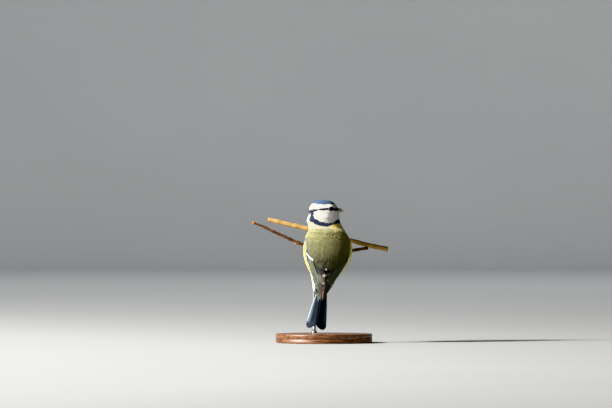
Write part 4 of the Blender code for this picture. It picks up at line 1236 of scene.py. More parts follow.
def plumes(name, blades, seed):
    """Joins blades into one piece, each with its own cell of the baking map."""
    random = np.random.default_rng(seed)
    points, faces, colours, leaf, patch = [], [], [], [], []
    start = 0
    for number, part in enumerate(blades):
        points.append(part["points"])
        faces.append(part["faces"] + start)
        tone = random.normal(1.0, 0.03, 3) * random.normal(1.0, 0.04)
        colours.append(np.clip(part["colours"] * tone, 0, 1))
        own = part["leaf"].copy()
        own[:, 2] = random.uniform(0.3, 0.7)
        leaf.append(own)
        half = np.repeat([0.25, 0.75], len(own) // 2)
        u = (number % CELLS + 0.04 + 0.92 * (half - 0.25 + 0.25 + own[:, 0] * 0.21)) / CELLS
        v = (number // CELLS + 0.04 + 0.92 * own[:, 1]) / CELLS
        patch.append(np.column_stack([u, v]))
        start += len(part["points"])
    obj = mesh_object(name, np.concatenate(points), np.concatenate(faces).tolist())
    put_attribute(obj, "plumage", "FLOAT_COLOR", with_alpha(np.concatenate(colours)))
    put_attribute(obj, "leaf", "FLOAT_VECTOR", np.concatenate(leaf))
    patch = np.concatenate(patch)
    corners = np.empty(len(obj.data.loops), np.int32)
    obj.data.loops.foreach_get("vertex_index", corners)
    layer = obj.data.uv_layers.new(name="OFBake")
    layer.data.foreach_set("uv", patch[corners].astype(np.float32).ravel())
    return obj


# %% [markdown]
# Colours inside a feather follow the species. Primaries are brown-grey with a thin blue-white outer
# fringe, secondaries have blue-green outer webs, the tertials end in pale tips, and the tips of the
# greater coverts make the one white bar. The tertials are also darkened far below their own grey as
# painted shade, and the lowest of them carries a patch of painted light.

# %% The colours of long feathers
def web_colours(base, inner, fringe, u, v, shaft=SHAFT_DARK, fringe_from=0.72, fringe_end=1.1):
    u, v = np.broadcast_arrays(u, v)
    colour = np.tile(base, u.shape + (1,)).astype(float)

    def put(paint, amount):
        nonlocal colour
        colour = colour + (np.asarray(paint) - colour) * amount[..., None]

    put(inner, over(u, 0.25, 0.35))
    put(fringe, over(-u, fringe_from, 0.16) * (1 - over(v, fringe_end, 0.2)))
    put(shaft, np.exp(-(u / 0.07) ** 2) * 0.8)
    return colour


def tipped(colour, paint, amount):
    return colour + (np.asarray(paint) - colour) * amount[..., None]


PALE_EDGE = linear(206, 220, 216)
GREEN_EDGE = linear(168, 186, 150)
PANEL_EDGE = linear(114, 120, 100)
BROWN_TIP = linear(134, 116, 104)
TERTIAL_TIP = linear(190, 186, 168)
# TERTIAL_LIT is painted light, laid mostly on the lowest tertial.
TERTIAL_LIT = linear(96, 92, 84)
ALULA = linear(46, 62, 92)


def primary_colours(u, v, place):
    base = mix(WEB_BLUE, WEB_GREEN, 0.7) * 0.42
    colour = web_colours(base, WEB_BROWN, PANEL_EDGE, u, v, fringe_from=0.5, fringe_end=0.80)
    colour = tipped(colour, WEB_BROWN * 0.9, over(v, 0.80, 0.16) + 0 * u)
    return tipped(colour, BROWN_TIP, over(v + 0.03 * u * u, 0.975, 0.03))


def secondary_colours(u, v, place):
    base = mix(WEB_BLUE, WEB_GREEN, 0.85) * 0.40
    colour = web_colours(base, WEB_BROWN * 0.7, PANEL_EDGE, u, v, fringe_from=0.42)
    return tipped(colour, TERTIAL_TIP, over(v, 0.965, 0.04) * 0.15 + 0 * u)


def tertial_colours(u, v, place):
    # The tertials are painted far darker than their own grey: painted shade where their bases lie in shadow.
    # TERTIAL_LIT, strong only on the lowest tertial, is painted light.
    colour = web_colours(TERTIAL * 0.13, TERTIAL * 0.10, PANEL_EDGE * 0.5, u, v, fringe_from=0.90)
    colour = tipped(colour, TERTIAL_LIT, over(v, 0.70, 0.1) * (1 - over(u, 0.8, 0.3)) * (1.0, 0.15, 0.1)[place])
    blot = over(v, 0.90 + 0.05 * (place == 0), 0.06) * over(u, (-0.7, -0.25, -0.1)[place], 0.3)
    return tipped(colour, TERTIAL_TIP, blot * (1 - over(u, 0.72, 0.2)))


def covert_colours(u, v, place):
    colour = web_colours(COVERT_BLUE * 0.5, ALULA * 0.6, COVERT_BLUE, u, v, fringe_from=0.55)
    return tipped(colour, BAR_WHITE, over(v + 0.06 * np.abs(u), 0.85, 0.08))


def primary_covert_colours(u, v, place):
    return web_colours(ALULA, ALULA * 0.6, COVERT_BLUE, u, v, fringe_from=0.6)


def alula_colours(u, v, place):
    return web_colours(ALULA * 0.7, ALULA * 0.5, PALE_EDGE, u, v, fringe_from=0.78)


def small_covert_colours(u, v, place):
    colour = web_colours(COVERT_BLUE * 0.55, COVERT_BLUE * 0.45, COVERT_BLUE, u, v, fringe_from=0.45)
    return tipped(colour, COVERT_BLUE, over(v + 0.12 * u * u, 0.74, 0.16))


# %% [markdown]
# The folded wing is a fan that has been closed: primaries underneath, secondaries on them, tertials over
# both, and the coverts in rows over their roots like tiles. Each tier is one line of values, and each
# feather takes its place along the line. The left wing's tertials lie over the right wing's.

# %% The tiers of the folded wing
# name, count, root levels, root angles, tip levels, tip angles, bow, outer and inner web, lifts, tilt
WING_TIERS = (
    (9, ((0, 72), (1, 68)), ((0, 31), (1, 56)), ((0, 41), (0.3, 37.0), (0.6, 39.0), (1, 45)),
     ((0, 60), (0.3, 77), (0.6, 86), (1, 90)), 2.0, (1.0, 2.0), (-0.1, 0.25), 0.3, POINTED, primary_colours),
    (6, ((0, 74), (1, 69)), ((0, 34), (1, 60)), ((0, 49.5), (0.5, 47.5), (1, 51)),
     ((0, 46), (1, 80)), 1.6, (1.5, 2.2), (0.3, 0.5), 0.3, ROUNDED, secondary_colours),
    (3, ((0, 75), (1, 73)), ((0, 56), (1, 72)), ((0, 48.6), (0.5, 54.0), (1, 59.0)),
     ((0, 91), (0.5, 86), (1, 89)), 1.9, (1.9, 1.7), (0.75, 1.25), 0.35, ROUNDED, tertial_colours),
    (6, ((0, 84), (1, 80)), ((0, 25), (1, 31)), ((0, 66), (1, 69)),
     ((0, 31), (1, 39)), 1.0, (1.0, 1.5), (0.4, 0.55), 0.3, POINTED, primary_covert_colours),
    (2, ((0, 88), (1, 86)), ((0, 22), (1, 25)), ((0, 73), (1, 76)),
     ((0, 28), (1, 30)), 1.0, (1.1, 1.3), (0.5, 0.6), 0.3, POINTED, alula_colours),
    (9, ((0, 84), (1, 78)), ((0, 30), (1, 64)), ((0, 75.2), (0.5, 69), (1, 65)),
     ((0, 33), (1, 66)), 1.0, (1.5, 1.9), (0.6, 0.75), 0.3, ROUNDED, covert_colours),
    (11, ((0, 87), (1, 81)), ((0, 25), (1, 60)), ((0, 79), (1, 70)),
     ((0, 28), (1, 63)), 1.0, (1.15, 1.3), (0.45, 0.75), 0.3, ROUNDED, small_covert_colours),
    (12, ((0, 89), (1, 84)), ((0, 24), (1, 58)), ((0, 82.5), (1, 75)),
     ((0, 26), (1, 60)), 1.0, (1.0, 1.1), (0.45, 0.75), 0.3, ROUNDED, small_covert_colours),
    (12, ((0, 91), (1, 87)), ((0, 24), (1, 54)), ((0, 86), (1, 79.5)),
     ((0, 25), (1, 57)), 1.0, (0.95, 1.0), (0.4, 0.6), 0.3, ROUNDED, small_covert_colours),
)
CROSSING = {"left": 104.0, "right": 104.0}
MIDLINE_DEGREES = {"left": 94.0, "right": 89.0}
UNDER = {"left": 0.0, "right": 0.95}
TIP_SHIFT = 11.0


def knots_at(knots, share):
    return float(np.interp(share, *zip(*knots)))


def wing_feather(side, tier, place):
    count, root_level, root_angle, tip_level, tip_angle, bow, webs, lifts, tilt, outline_, colour = tier
    share = place / (count - 1)
    levels = knots_at(root_level, share), knots_at(tip_level, share)
    angles = knots_at(root_angle, share), knots_at(tip_angle, share)
    tertial = colour is tertial_colours
    if tertial and side == "right":
        angles = angles[0], 180.0 - angles[1]
    v = LENGTHWISE[:, None]
    level = mix(levels[0], levels[1], v)
    angle = mix(angles[0], angles[1], v ** bow)
    girth = np.radians(1.0) * np.interp(level, *zip(*SIDE_REACH))
    fall = levels[1] - levels[0]
    swing = (angles[1] - angles[0]) * girth * bow * v ** (bow - 1)
    norm = np.hypot(fall, swing)
    u = WEB[None, :]
    half = np.where(u < 0, webs[0], webs[1]) * web_half(outline_, v)
    sweep_back = -0.5 * np.abs(u) ** 1.5 * half
    at_level = level + (u * half * swing + sweep_back * fall) / norm
    at_angle = angle + (-u * half * fall + sweep_back * swing) / norm / girth
    most = CROSSING[side] if tertial else MIDLINE_DEGREES[side]
    at_angle = np.where(at_angle > most, most + 0.12 * (at_angle - most), at_angle)
    camber = 0.10 * half * (1 - u * u)
    start = -0.3 if count > 6 or count == 2 else 0.35
    settled = mix(start, 1.0, ease(v / 0.6)) if (tertial or levels[0] > 77) else 1.0
    lift = (mix(*lifts, share) - UNDER[side] * tertial) * settled + tilt * (-0.5 * u) * web_half(outline_, v) + camber
    points, normals = wing_spots(side, at_level, at_angle, lift)
    return blade(points, normals, colour(u, v, place))


def make_wing(side, seed):
    blades = [wing_feather(side, tier, place) for tier in WING_TIERS for place in range(tier[0])]
    return plumes("wing_feathers_" + side, blades, seed)


wings = {side: make_wing(side, seed) for side, seed in (("left", 21), ("right", 22))}
for side, piece in wings.items():
    outward_check = sum(p.area for p in piece.data.polygons)
    print(piece.name, "area", round(outward_check / MM ** 2), "square mm")
    hand_over(piece, "wing_feathers", long_plumage, "wing_" + side)

# %% [markdown]
# A tit's tail has twelve feathers, stacked with the middle pair on top. Closed, each half slopes away
# like one side of a low roof, so that one half catches the light while the other lies in shade. The blue
# of the middle feathers is mostly left out as painted shade, so that blue shows only along the outer
# webs towards the sides.

# %% Tail
TAIL_TOP = np.array([-1.7, -11.2, 46.0])
TAIL_END = np.array([-7.6, -22.9, 13.6])
TAIL_SHARES = (0.968, 0.982, 0.992, 1.0, 0.994, 0.976)
TAIL_ROOF = math.tan(math.radians(26))
TAIL_LAYER = 0.3
# How much blue each tail feather shows from root to tip, by its place from the middle; the low shares of the middle
# feathers are painted shade.
TAIL_BLUE_SHARE_WITH_PAINTED_SHADE = ((0.06, 0.06), (0.06, 0.08), (0.08, 0.16), (0.14, 0.60), (0.6, 1.0), (1.0, 1.1))
WHITE_WEB = linear(236, 240, 240)


def tail_colours(place):
    def colour(u, v):
        low, high = TAIL_BLUE_SHARE_WITH_PAINTED_SHADE[place]
        # The blue left out of the middle feathers is painted shade.
        pale = mix(low, high, ease(v * 1.3))[..., None]
        made = web_colours(SHAFT_DARK * 0.4, SHAFT_DARK * 0.3, SHAFT_DARK * 0.4, u, v)
        made = tipped(made, TAIL_BLUE * 0.42 * pale, over(-u, 0.4, 0.2) * np.ones_like(v))
        made = tipped(made, TAIL_BLUE * pale, over(-u, 0.76, 0.12) * np.ones_like(v))
        if place == 5:
            made = tipped(made, WHITE_WEB, over(-u, 0.84, 0.12) * (1 - over(v, 0.8, 0.2)) * 0.6)
        return tipped(made, SHAFT_DARK * 0.6, over(v, 0.85, 0.08) * np.ones_like(u) * 0.97)
    return colour


def tail_feather(way, place):
    along = unit(TAIL_END - TAIL_TOP)
    across = unit(np.array([1.0, 0, 0]) - along * along[0])
    up = np.cross(along, across)
    up = up if up[1] < 0 else -up
    span = np.linalg.norm(TAIL_END - TAIL_TOP) * TAIL_SHARES[place]
    v, u = LENGTHWISE[:, None], WEB[None, :]
    half = 2.5 * web_half(SQUARE, v) * np.where(u < 0, 0.80, 1.15)
    middle = mix(0.8 + 0.56 * place, 1.8 + 1.06 * place, v)
    offset = middle - u * half
    rounding = 1.5 * np.abs(u) ** 2.4 * v ** 6
    forward = mix(1.5, span, v) - rounding
    drop = TAIL_LAYER * (place + 0.5 * (way < 0)) + np.maximum(offset, -0.4) * TAIL_ROOF
    drop = drop + 0.25 * (1 - np.cos(math.pi * np.clip(u, 0, 1))) * 0.2
    points = (TAIL_TOP + along * forward[..., None] + across * (way * offset)[..., None]
              - up * drop[..., None] + up * 0.25)
    normals = np.broadcast_to(up, points.shape)
    return blade(points, normals, tail_colours(place)(u, v))


tail = plumes("tail_feathers", [tail_feather(way, place) for place in range(6) for way in (1, -1)], 31)
hand_over(tail, "tail_feathers", long_plumage, "tail")

# %% [markdown]
# Over the folded wing lies a cloak of body feathers: scapulars fall over its inner half from the back, and
# the long flank feathers fold up over its outer edge, so that only a narrow window of the wing shows. The
# cloak grows on a guide sheet, a little above the outline, that is thrown away once the feathers stand.

# %% The cloak over the wings
WINDOW_INNER = ((40, 0), (50, 10), (57, 18), (64, 26), (71, 38), (77, 50), (82, 53), (86, 55), (90.5, 66))
WINDOW_OUTER = ((40, 22), (45, 30), (50, 46), (57, 64), (66, 66), (72, 66), (77, 61.5), (80, 61), (84, 65), (87, 67), (90.5, 66))
CLOAK_END = 65.0
CLOAK_LOW, CLOAK_TOP = 39.0, 101.0
CLOAK_LIFT = ((0, 0.3), (24, 0.6), (42, 1.05), (60, 0.9), (74, 0.7), (88, 0.0), (104, -1.1))
CLOAK_FADE = ((39, 0.7), (44, 1.0), (64, 1.0), (84, 1.0), (94, 1.0), (98, 0.75), (101, 0.1))
FLANK_FADE = ((39, 0.6), (44, 0.85), (57, 0.7), (70, 0.8), (78, 1.0), (86, 0.75), (93, 0.0), (101, -0.3))
RIGHT_INNER = ((40, 0), (50, 8), (57, 14), (62, 28), (66, 42), (71, 53), (77, 58), (82, 61), (90.5, 66))
RIGHT_WING_OUTER = 82.0


def cloak_sheet():
    rows, columns = 110, 160
    z = np.linspace(CLOAK_LOW, CLOAK_TOP, rows)[:, None]
    bearing = np.linspace(-22, 202, columns)[None, :]
    from_back = np.abs(bearing - 90)
    share = mix(np.interp(z, *zip(*CLOAK_FADE)), np.interp(z, *zip(*FLANK_FADE)), ease((from_back - 62) / 12))
    low_back = 0.9 * (1 - ease((z - 74) / 12)) * (1 - ease((from_back - 24) / 18))
    lift = mix(-0.9, np.interp(from_back, *zip(*CLOAK_LIFT)) + low_back, np.clip(share, 0, 1))
    points, normals = spots(z, bearing % 360, lift)
    grid = np.arange(rows * columns).reshape(rows, columns)
    faces = np.stack([grid[:-1, :-1], grid[1:, :-1], grid[1:, 1:], grid[:-1, 1:]], axis=-1).reshape(-1, 4)
    points, normals = points.reshape(-1, 3), normals.reshape(-1, 3)
    sheet = mesh_object("cloak_sheet", points, faces.tolist())
    sheet_normal = np.array(sheet.data.polygons[len(sheet.data.polygons) // 2].normal)
    if sheet_normal[1] > 0:
        sheet.data.flip_normals()
    return sheet, points, normals


cloak, cloak_points, cloak_normals = cloak_sheet()
to_tail = unit(TAIL_TIP - np.array([0.0, 12.0, 96.0]))
cloak_lie = np.tile(to_tail, (len(cloak_points), 1))
cloak_bearing = bearings_of(cloak_points)[0]
signed = (cloak_bearing - 90 + 180) % 360 - 180
outward_way = np.column_stack([-np.sin(np.radians(signed)), np.zeros(len(signed)), np.zeros(len(signed))])
spread = 0.34 * ease((np.abs(signed) - 5) / 30) * (1 - ease((np.abs(signed) - 50) / 12))
cloak_lie = cloak_lie + outward_way * (spread * ease((cloak_points[:, 2] - 62) / 14))[:, None]
cloak_lie = rows_unit(cloak_lie - cloak_normals * (cloak_lie * cloak_normals).sum(axis=1)[:, None])
cloak_length = mix(5.6, 7.6, ease((92 - cloak_points[:, 2]) / 20))
cloak_length = mix(cloak_length, 4.6, ease((cloak_points[:, 2] - 92) / 8))
cloak_length = mix(cloak_length, 4.4, ease((56 - cloak_points[:, 2]) / 8))
cloak_tips = cloak_points + cloak_lie * (cloak_length * 0.9)[:, None]
tip_bearing = bearings_of(cloak_tips)[0]
tip_from_back = np.abs((tip_bearing - 90 + 180) % 360 - 180)
tip_z = cloak_tips[:, 2]
inner, outer = np.interp(tip_z, *zip(*WINDOW_INNER)), np.interp(tip_z, *zip(*WINDOW_OUTER))
on_right = (tip_bearing < 90) | (tip_bearing > 270)
inner = np.where(on_right, np.interp(tip_z, *zip(*RIGHT_INNER)), inner)
outer = np.where(on_right & (tip_z < 57), RIGHT_WING_OUTER, outer)
in_shield = (tip_from_back < inner) & (tip_z > CLOAK_END - 1.5 * np.cos(np.radians(tip_from_back * 3)))
above = np.abs((cloak_bearing - 90 + 180) % 360 - 180)
root_outer = np.interp(cloak_points[:, 2], *zip(*WINDOW_OUTER))
in_flank = (tip_from_back > outer) & (above > root_outer - 1) & (tip_z > 42.5) & (cloak_points[:, 2] < 92)
in_shoulder = (tip_z > 88.6) & (cloak_points[:, 2] > 89.5) & (above < 96)
put_attribute(cloak, "lie", "FLOAT_VECTOR", cloak_lie)
put_attribute(cloak, "length", "FLOAT", cloak_length)
put_attribute(cloak, "scapulars", "FLOAT", (in_shield | in_shoulder).astype(float))
put_attribute(cloak, "flanks", "FLOAT", (in_flank & ~in_shoulder).astype(float))

coats += [
    (grow_coat("scapular_feathers", "scapulars", 0.76, 5, 2, 0.42, 0.15, 8, 0.7, 0.35, cloak), BODY_SLOT, ("torso",)),
    (grow_coat("flank_feathers", "flanks", 0.86, 5, 2.5, 0.42, 0.15, 9, 0.7, 0.3, cloak), BODY_SLOT, ("torso",)),
]
bpy.data.objects.remove(cloak, do_unlink=True)

# %% [markdown]
# Each eye is one ball that sits as deep as the real one. Its mesh has a pole on the line of sight, so
# that pupil, iris and white can be told apart by the distance from that pole. The iris of this bird is a
# brown so dark that only its rim shows, and the wet cornea gives one sharp highlight.

# %% Eyes
def turned_ring(centre, way, rings):
    """Points of rings round a line: each ring is (distance along, radius)."""
    side = unit(np.cross(way, [0, 0, 1.0]))
    top = np.cross(side, way)
    turns = np.linspace(0, 2 * math.pi, EYE_SIDES, endpoint=False)
    circle = np.outer(np.cos(turns), side) + np.outer(np.sin(turns), top)
    return np.concatenate([centre + way * along + circle * radius for along, radius in rings])


def ring_faces(rings, count, closed=False):
    faces = []
    for row in range(rings if closed else rings - 1):
        after = (row + 1) % rings
        for i in range(count):
            j = (i + 1) % count
            faces.append((row * count + i, row * count + j, after * count + j, after * count + i))
    return faces


EYE_SIDES = 48


def eye_material():
    material, tree, shader = new_material("wet_eye", 0.06, Coat_Weight=0.35, Coat_Roughness=0.02,
                                          Specular_IOR_Level=0.3)
    rim = attribute_of(tree, "rim", "Fac")
    streaks = noise(tree, 4200.0, 4.0, 0.7)
    ramp = add_node(tree, "ShaderNodeValToRGB", {"Fac": rim})
    stops = ((0.0, (0.002, 0.002, 0.002, 1)), (0.40, (0.002, 0.002, 0.002, 1)), (0.47, (0.005, 0.003, 0.002, 1)),
             (0.80, (0.008, 0.004, 0.002, 1)), (0.95, (0.004, 0.003, 0.003, 1)))
    elements = ramp.color_ramp.elements
    elements[0].position, elements[0].color = stops[0]
    elements[1].position, elements[1].color = stops[-1]
    for place, colour in stops[1:-1]:
        elements.new(place).color = colour
    fleck = add_node(tree, "ShaderNodeMapRange", {"Value": streaks, "To Min": 0.6, "To Max": 1.5}).outputs[0]
    fleck = add_node(tree, "ShaderNodeCombineColor", {0: fleck, 1: fleck, 2: fleck}).outputs[0]
    tree.links.new(blend_colours(tree, 1.0, ramp.outputs[0], fleck, "MULTIPLY"), shader.inputs["Base Color"])
    raised(tree, shader, streaks, 0.02, 0.00002)
    return material


wet_eye = eye_material()
for (centre, radius), way, name in zip(EYES, EYE_WAYS, ("eye_right", "eye_left")):
    angles = np.radians(np.linspace(0.8, 179.2, 40))
    rings = [(radius * math.cos(a), radius * math.sin(a)) for a in angles]
    points = turned_ring(centre, way, rings)
    faces = ring_faces(len(rings), EYE_SIDES)
    faces.append(tuple(reversed(range(EYE_SIDES))))
    faces.append(tuple(range((len(rings) - 1) * EYE_SIDES, len(rings) * EYE_SIDES)))
    ball = outward(mesh_object(name + "_ball", points, faces))
    from_pole = np.linalg.norm(np.cross(read_vectors(ball) - centre, way), axis=1)
    ahead = (read_vectors(ball) - centre) @ way
    put_attribute(ball, "rim", "FLOAT", np.where(ahead > 0, from_pole / 1.95, 1.0))
    hand_over(ball, "eye", wet_eye, name)

# %% [markdown]
# The lids are a bare, slightly swollen rim round each eye, dark slate, with fine folds across it. They lie
# on a ball just larger than the eye, and their outer edge slips under the face feathers.

# %% Lids
LID_PROFILE = ((38.0, 0.00), (38.6, 0.14), (40.6, 0.24), (44.0, 0.24), (49.0, 0.16), (56.0, 0.04), (62.0, -0.12),
               (56.0, -0.20), (46.0, -0.10), (40.0, -0.04))


def lid_points(centre, radius, way):
    side = unit(np.cross(way, [0, 0, 1.0]))
    top = np.cross(side, way)
    points = []
    for polar, rise in LID_PROFILE:
        for i in range(EYE_SIDES):
            turn = 2 * math.pi * i / EYE_SIDES
            almond = 2.0 * math.cos(2 * turn)
            fold = 0.035 * math.sin(15 * turn) * (rise > 0.1)
            a = math.radians(polar + almond)
            ray = way * math.cos(a) + (side * math.cos(turn) + top * math.sin(turn)) * math.sin(a)
            points.append(centre + ray * (radius + 0.06 + rise + fold))
    return points


def bare_skin_material(name, colour, wrinkle, roughness):
    material, tree, shader = new_material(name, roughness, Specular_IOR_Level=0.4)
    grain = noise(tree, wrinkle, 4.0, 0.6)
    tone = add_node(tree, "ShaderNodeMapRange", {"Value": grain, "To Min": 0.6, "To Max": 1.35}).outputs[0]
    tone = add_node(tree, "ShaderNodeCombineColor", {0: tone, 1: tone, 2: tone}).outputs[0]
    base = tuple(colour) + (1.0,)
    tree.links.new(blend_colours(tree, 1.0, base, tone, "MULTIPLY"), shader.inputs["Base Color"])
    raised(tree, shader, grain, 0.4, 0.00006)
    return material


lid_skin = bare_skin_material("lid_skin", linear(26, 29, 38), 3800.0, 0.5)
for (centre, radius), way, name in zip(EYES, EYE_WAYS, ("right", "left")):
    lid = outward(mesh_object("lid_" + name, lid_points(centre, radius, way),
                              ring_faces(len(LID_PROFILE), EYE_SIDES, closed=True)))
    hand_over(lid, "head_feathers", lid_skin, "head")

# %% [markdown]
# A tit's bill is a short, strong cone. The upper half overhangs the lower a little, its ridge curves
# down to the tip, and the cutting edges are paler than the rest; the pale band is widened over the sides
# as a painted highlight. The tip is read from the packed solids, and the sections run back from it,
# rounded properly and joined at a fine tip.

# %% Bill
BILL_DROOP = math.radians(6)
bill_forward = unit(HEAD_FORWARD * math.cos(BILL_DROOP) - np.array([0, 0, math.sin(BILL_DROOP)]))
bill_side = np.array([-math.sin(HEAD_TURN), math.cos(HEAD_TURN), 0.0])
bill_up = np.cross(bill_forward, bill_side)
reach = bill_points @ bill_forward
bill_tip = bill_points[np.argmax(reach)]
BILL_SPAN = 7.6
bill_back = bill_tip - bill_forward * BILL_SPAN
MOUTH_DROP = -0.05
BILL_SECTIONS, BILL_SIDES = 22, 28


def bill_half(name, upper):
    rings = []
    for i in range(BILL_SECTIONS):
        t = i / (BILL_SECTIONS - 1) * 0.985
        fullness = (1 - t ** 1.75) ** 0.78
        half_wide = 2.05 * fullness ** 1.05 * (0.95 if not upper else 1.0)
        rise = 2.35 * fullness ** 0.9 * (1.0 if upper else 0.92)
        middle = bill_back + bill_forward * BILL_SPAN * t * (1.0 if upper else 0.965)
        middle = middle + bill_up * (0.42 * (1 - t * t) + MOUTH_DROP - 0.12)
        ring = []
        for k in range(BILL_SIDES):
            turn = 2 * math.pi * k / BILL_SIDES
            across, high = math.cos(turn), math.sin(turn)
            flat = -0.06 if upper else 0.06
            if (high < 0) == upper:
                z = flat + 0.10 * (1 - across * across) * (-1 if upper else 1) * 0.4
                across *= 0.985
            else:
                ridge = 0.10 * max(0.0, abs(high) - 0.75) * fullness
                z = (abs(high) ** 0.92 * rise + ridge) * (1 if upper else -1) + flat * 0.3
            ring.append(middle + bill_side * across * half_wide + bill_up * (z + (0.04 if upper else -0.06)))
        rings.append(ring)
    points = [p for ring in rings for p in ring]
    faces = ring_faces(BILL_SECTIONS, BILL_SIDES)
    faces.append(tuple(range(BILL_SIDES)))
    tip = bill_tip + bill_forward * (0.0 if upper else -0.32) + bill_up * (0.03 if upper else -0.02)
    points.append(tip)
    last = (BILL_SECTIONS - 1) * BILL_SIDES
    faces += [(last + k, last + (k + 1) % BILL_SIDES, len(points) - 1) for k in range(BILL_SIDES)]
    obj = outward(mesh_object(name, points, faces))
    heights_ = (read_vectors(obj) - bill_back) @ bill_up
    along = ((read_vectors(obj) - bill_back) @ bill_forward) / BILL_SPAN
    edge = np.abs(heights_ - (0.42 * (1 - along * along) + MOUTH_DROP - 0.12))
    # Near the mouth line the bill is pale: partly its paler cutting edges, partly a painted highlight over the sides.
    put_attribute(obj, "cutting_edge", "FLOAT", np.clip(1.5 - edge / 1.25, 0, 1))
    put_attribute(obj, "along", "FLOAT", along)
    return obj


def horn_material():
    material, tree, shader = new_material("bill_horn", 0.32, Coat_Weight=0.25, Coat_Roughness=0.25)
    edge = attribute_of(tree, "cutting_edge", "Fac")
    grain = noise(tree, 1500.0, 4.0, 0.6)
    # The pale band is partly the real cutting edge and partly a painted highlight.
    pale = maths(tree, "MULTIPLY", edge, maths(tree, "ADD", maths(tree, "MULTIPLY", grain, 0.6), 0.55), True)
    dark = blend_colours(tree, grain, tuple(linear(70, 66, 62)) + (1,), tuple(linear(134, 126, 110)) + (1,))
    tree.links.new(blend_colours(tree, pale, dark, tuple(linear(222, 212, 178)) + (1,)),
                   shader.inputs["Base Color"])
    raised(tree, shader, grain, 0.25, 0.00006)
    return material


bill_horn = horn_material()
hand_over(bill_half("upper_bill", True), "bill_horn", bill_horn, "bill_upper")
hand_over(bill_half("lower_bill", False), "bill_horn", bill_horn, "bill_lower")

# %% [markdown]
# The nostrils open at the bill's root and are half hidden by stiff bristles. Each is a small sunken oval
# with a raised rim, set on the upper bill's side, and coloured dark all over as painted shade for the opening.

# %% Nostrils
NOSTRIL_FORWARD, NOSTRIL_SIDE, NOSTRIL_UP = 4.05, 1.32, 1.35


def nostril(way):
    place = bill_back + bill_forward * NOSTRIL_FORWARD + bill_side * (way * NOSTRIL_SIDE) + bill_up * NOSTRIL_UP
    look = unit(bill_side * way * 0.86 + bill_up * 0.5)
    long_way = unit(bill_forward - look * (bill_forward @ look))
    tall_way = np.cross(look, long_way)
    points = []
    for radius, rise in ((1.0, -0.16), (1.0, 0.06), (0.82, 0.10), (0.62, 0.04), (0.45, -0.10)):
        for i in range(16):
            turn = 2 * math.pi * i / 16
            points.append(place + long_way * 0.42 * radius * math.cos(turn)
                          + tall_way * 0.25 * radius * math.sin(turn) + look * rise)
    faces = ring_faces(5, 16)
    faces.append(tuple(range(16)))
    faces.append(tuple(range(64, 80)))
    return outward(mesh_object("nostril", points, faces))


# The nostrils' dark colour is painted shade for their openings.
nostril_painted_shade = bare_skin_material("nostril_painted_shade", linear(34, 32, 34), 3000.0, 0.6)
nostrils = joined("nostrils", [nostril(1), nostril(-1)])
hand_over(nostrils, "bill_horn", nostril_painted_shade, "bill_upper")

# %% [markdown]
# Tubes along bent paths make toes, claws, tarsi, twigs and buds alike. The frame of each ring is carried
# from the last one, so that a tube never twists, and its ends are closed.

# %% Tubes along a path
def smooth_line(knots, step):
    """A Catmull-Rom curve through knots of any width, cut into steps of about the given length."""
    knots = np.asarray(knots, float)
    out = []
    for i in range(len(knots) - 1):
        before, after = knots[max(i - 1, 0)], knots[min(i + 2, len(knots) - 1)]
        a, b = knots[i], knots[i + 1]
        pieces = max(2, int(np.linalg.norm((b - a)[:3]) / step))
        for k in range(pieces):
            t = k / pieces
            out.append(0.5 * (2 * a + (b - before) * t + (2 * before - 5 * a + 4 * b - after) * t * t
                              + (3 * a - before - 3 * b + after) * t ** 3))
    return np.array(out + [knots[-1]])


def ring_frames(path):
    ways = np.gradient(path, axis=0)
    ways = rows_unit(ways)
    side = unit(np.cross(ways[0], [0.13, 0.2, 0.97]))
    frames = []
    for way in ways:
        side = unit(side - way * (side @ way))
        frames.append((side, np.cross(way, side)))
    return frames


def tube(name, path, radii_, sides, shape=None):
    """shape(i, turn) may scale the radius of ring i at an angle."""
    points = []
    turns = 2 * math.pi * np.arange(sides) / sides
    for i, (place, (side, top)) in enumerate(zip(path, ring_frames(path))):
        scale = np.ones(sides) if shape is None else np.array([shape(i, turn) for turn in turns])
        circle = np.outer(np.cos(turns), side) + np.outer(np.sin(turns), top)
        points.append(place + circle * (radii_[i] * scale)[:, None])
    points = np.concatenate(points)
    faces = ring_faces(len(path), sides)
    faces += [tuple(range(sides)), tuple(range(len(points) - sides, len(points)))]
    obj = mesh_object(name, points, faces)
    steps = np.linalg.norm(np.diff(path, axis=0), axis=1)
    walked = np.concatenate([[0], np.cumsum(steps)])
    course = np.stack(np.broadcast_arrays(walked[:, None], turns[None, :] / (2 * math.pi),
                                          (walked / walked[-1])[:, None]), axis=-1)
    put_attribute(obj, "course", "FLOAT_VECTOR", course.reshape(-1, 3))
    return outward(obj)

# %% [markdown]
# The feet grip the side twig. Each has a bare tarsus, plated in front with overlapping scutes, three toes
# that pass over the twig and close round it, and a hind toe that closes from the other side. Toes are
# thicker at their joints. The claws are pieces of their own, darker and smooth.

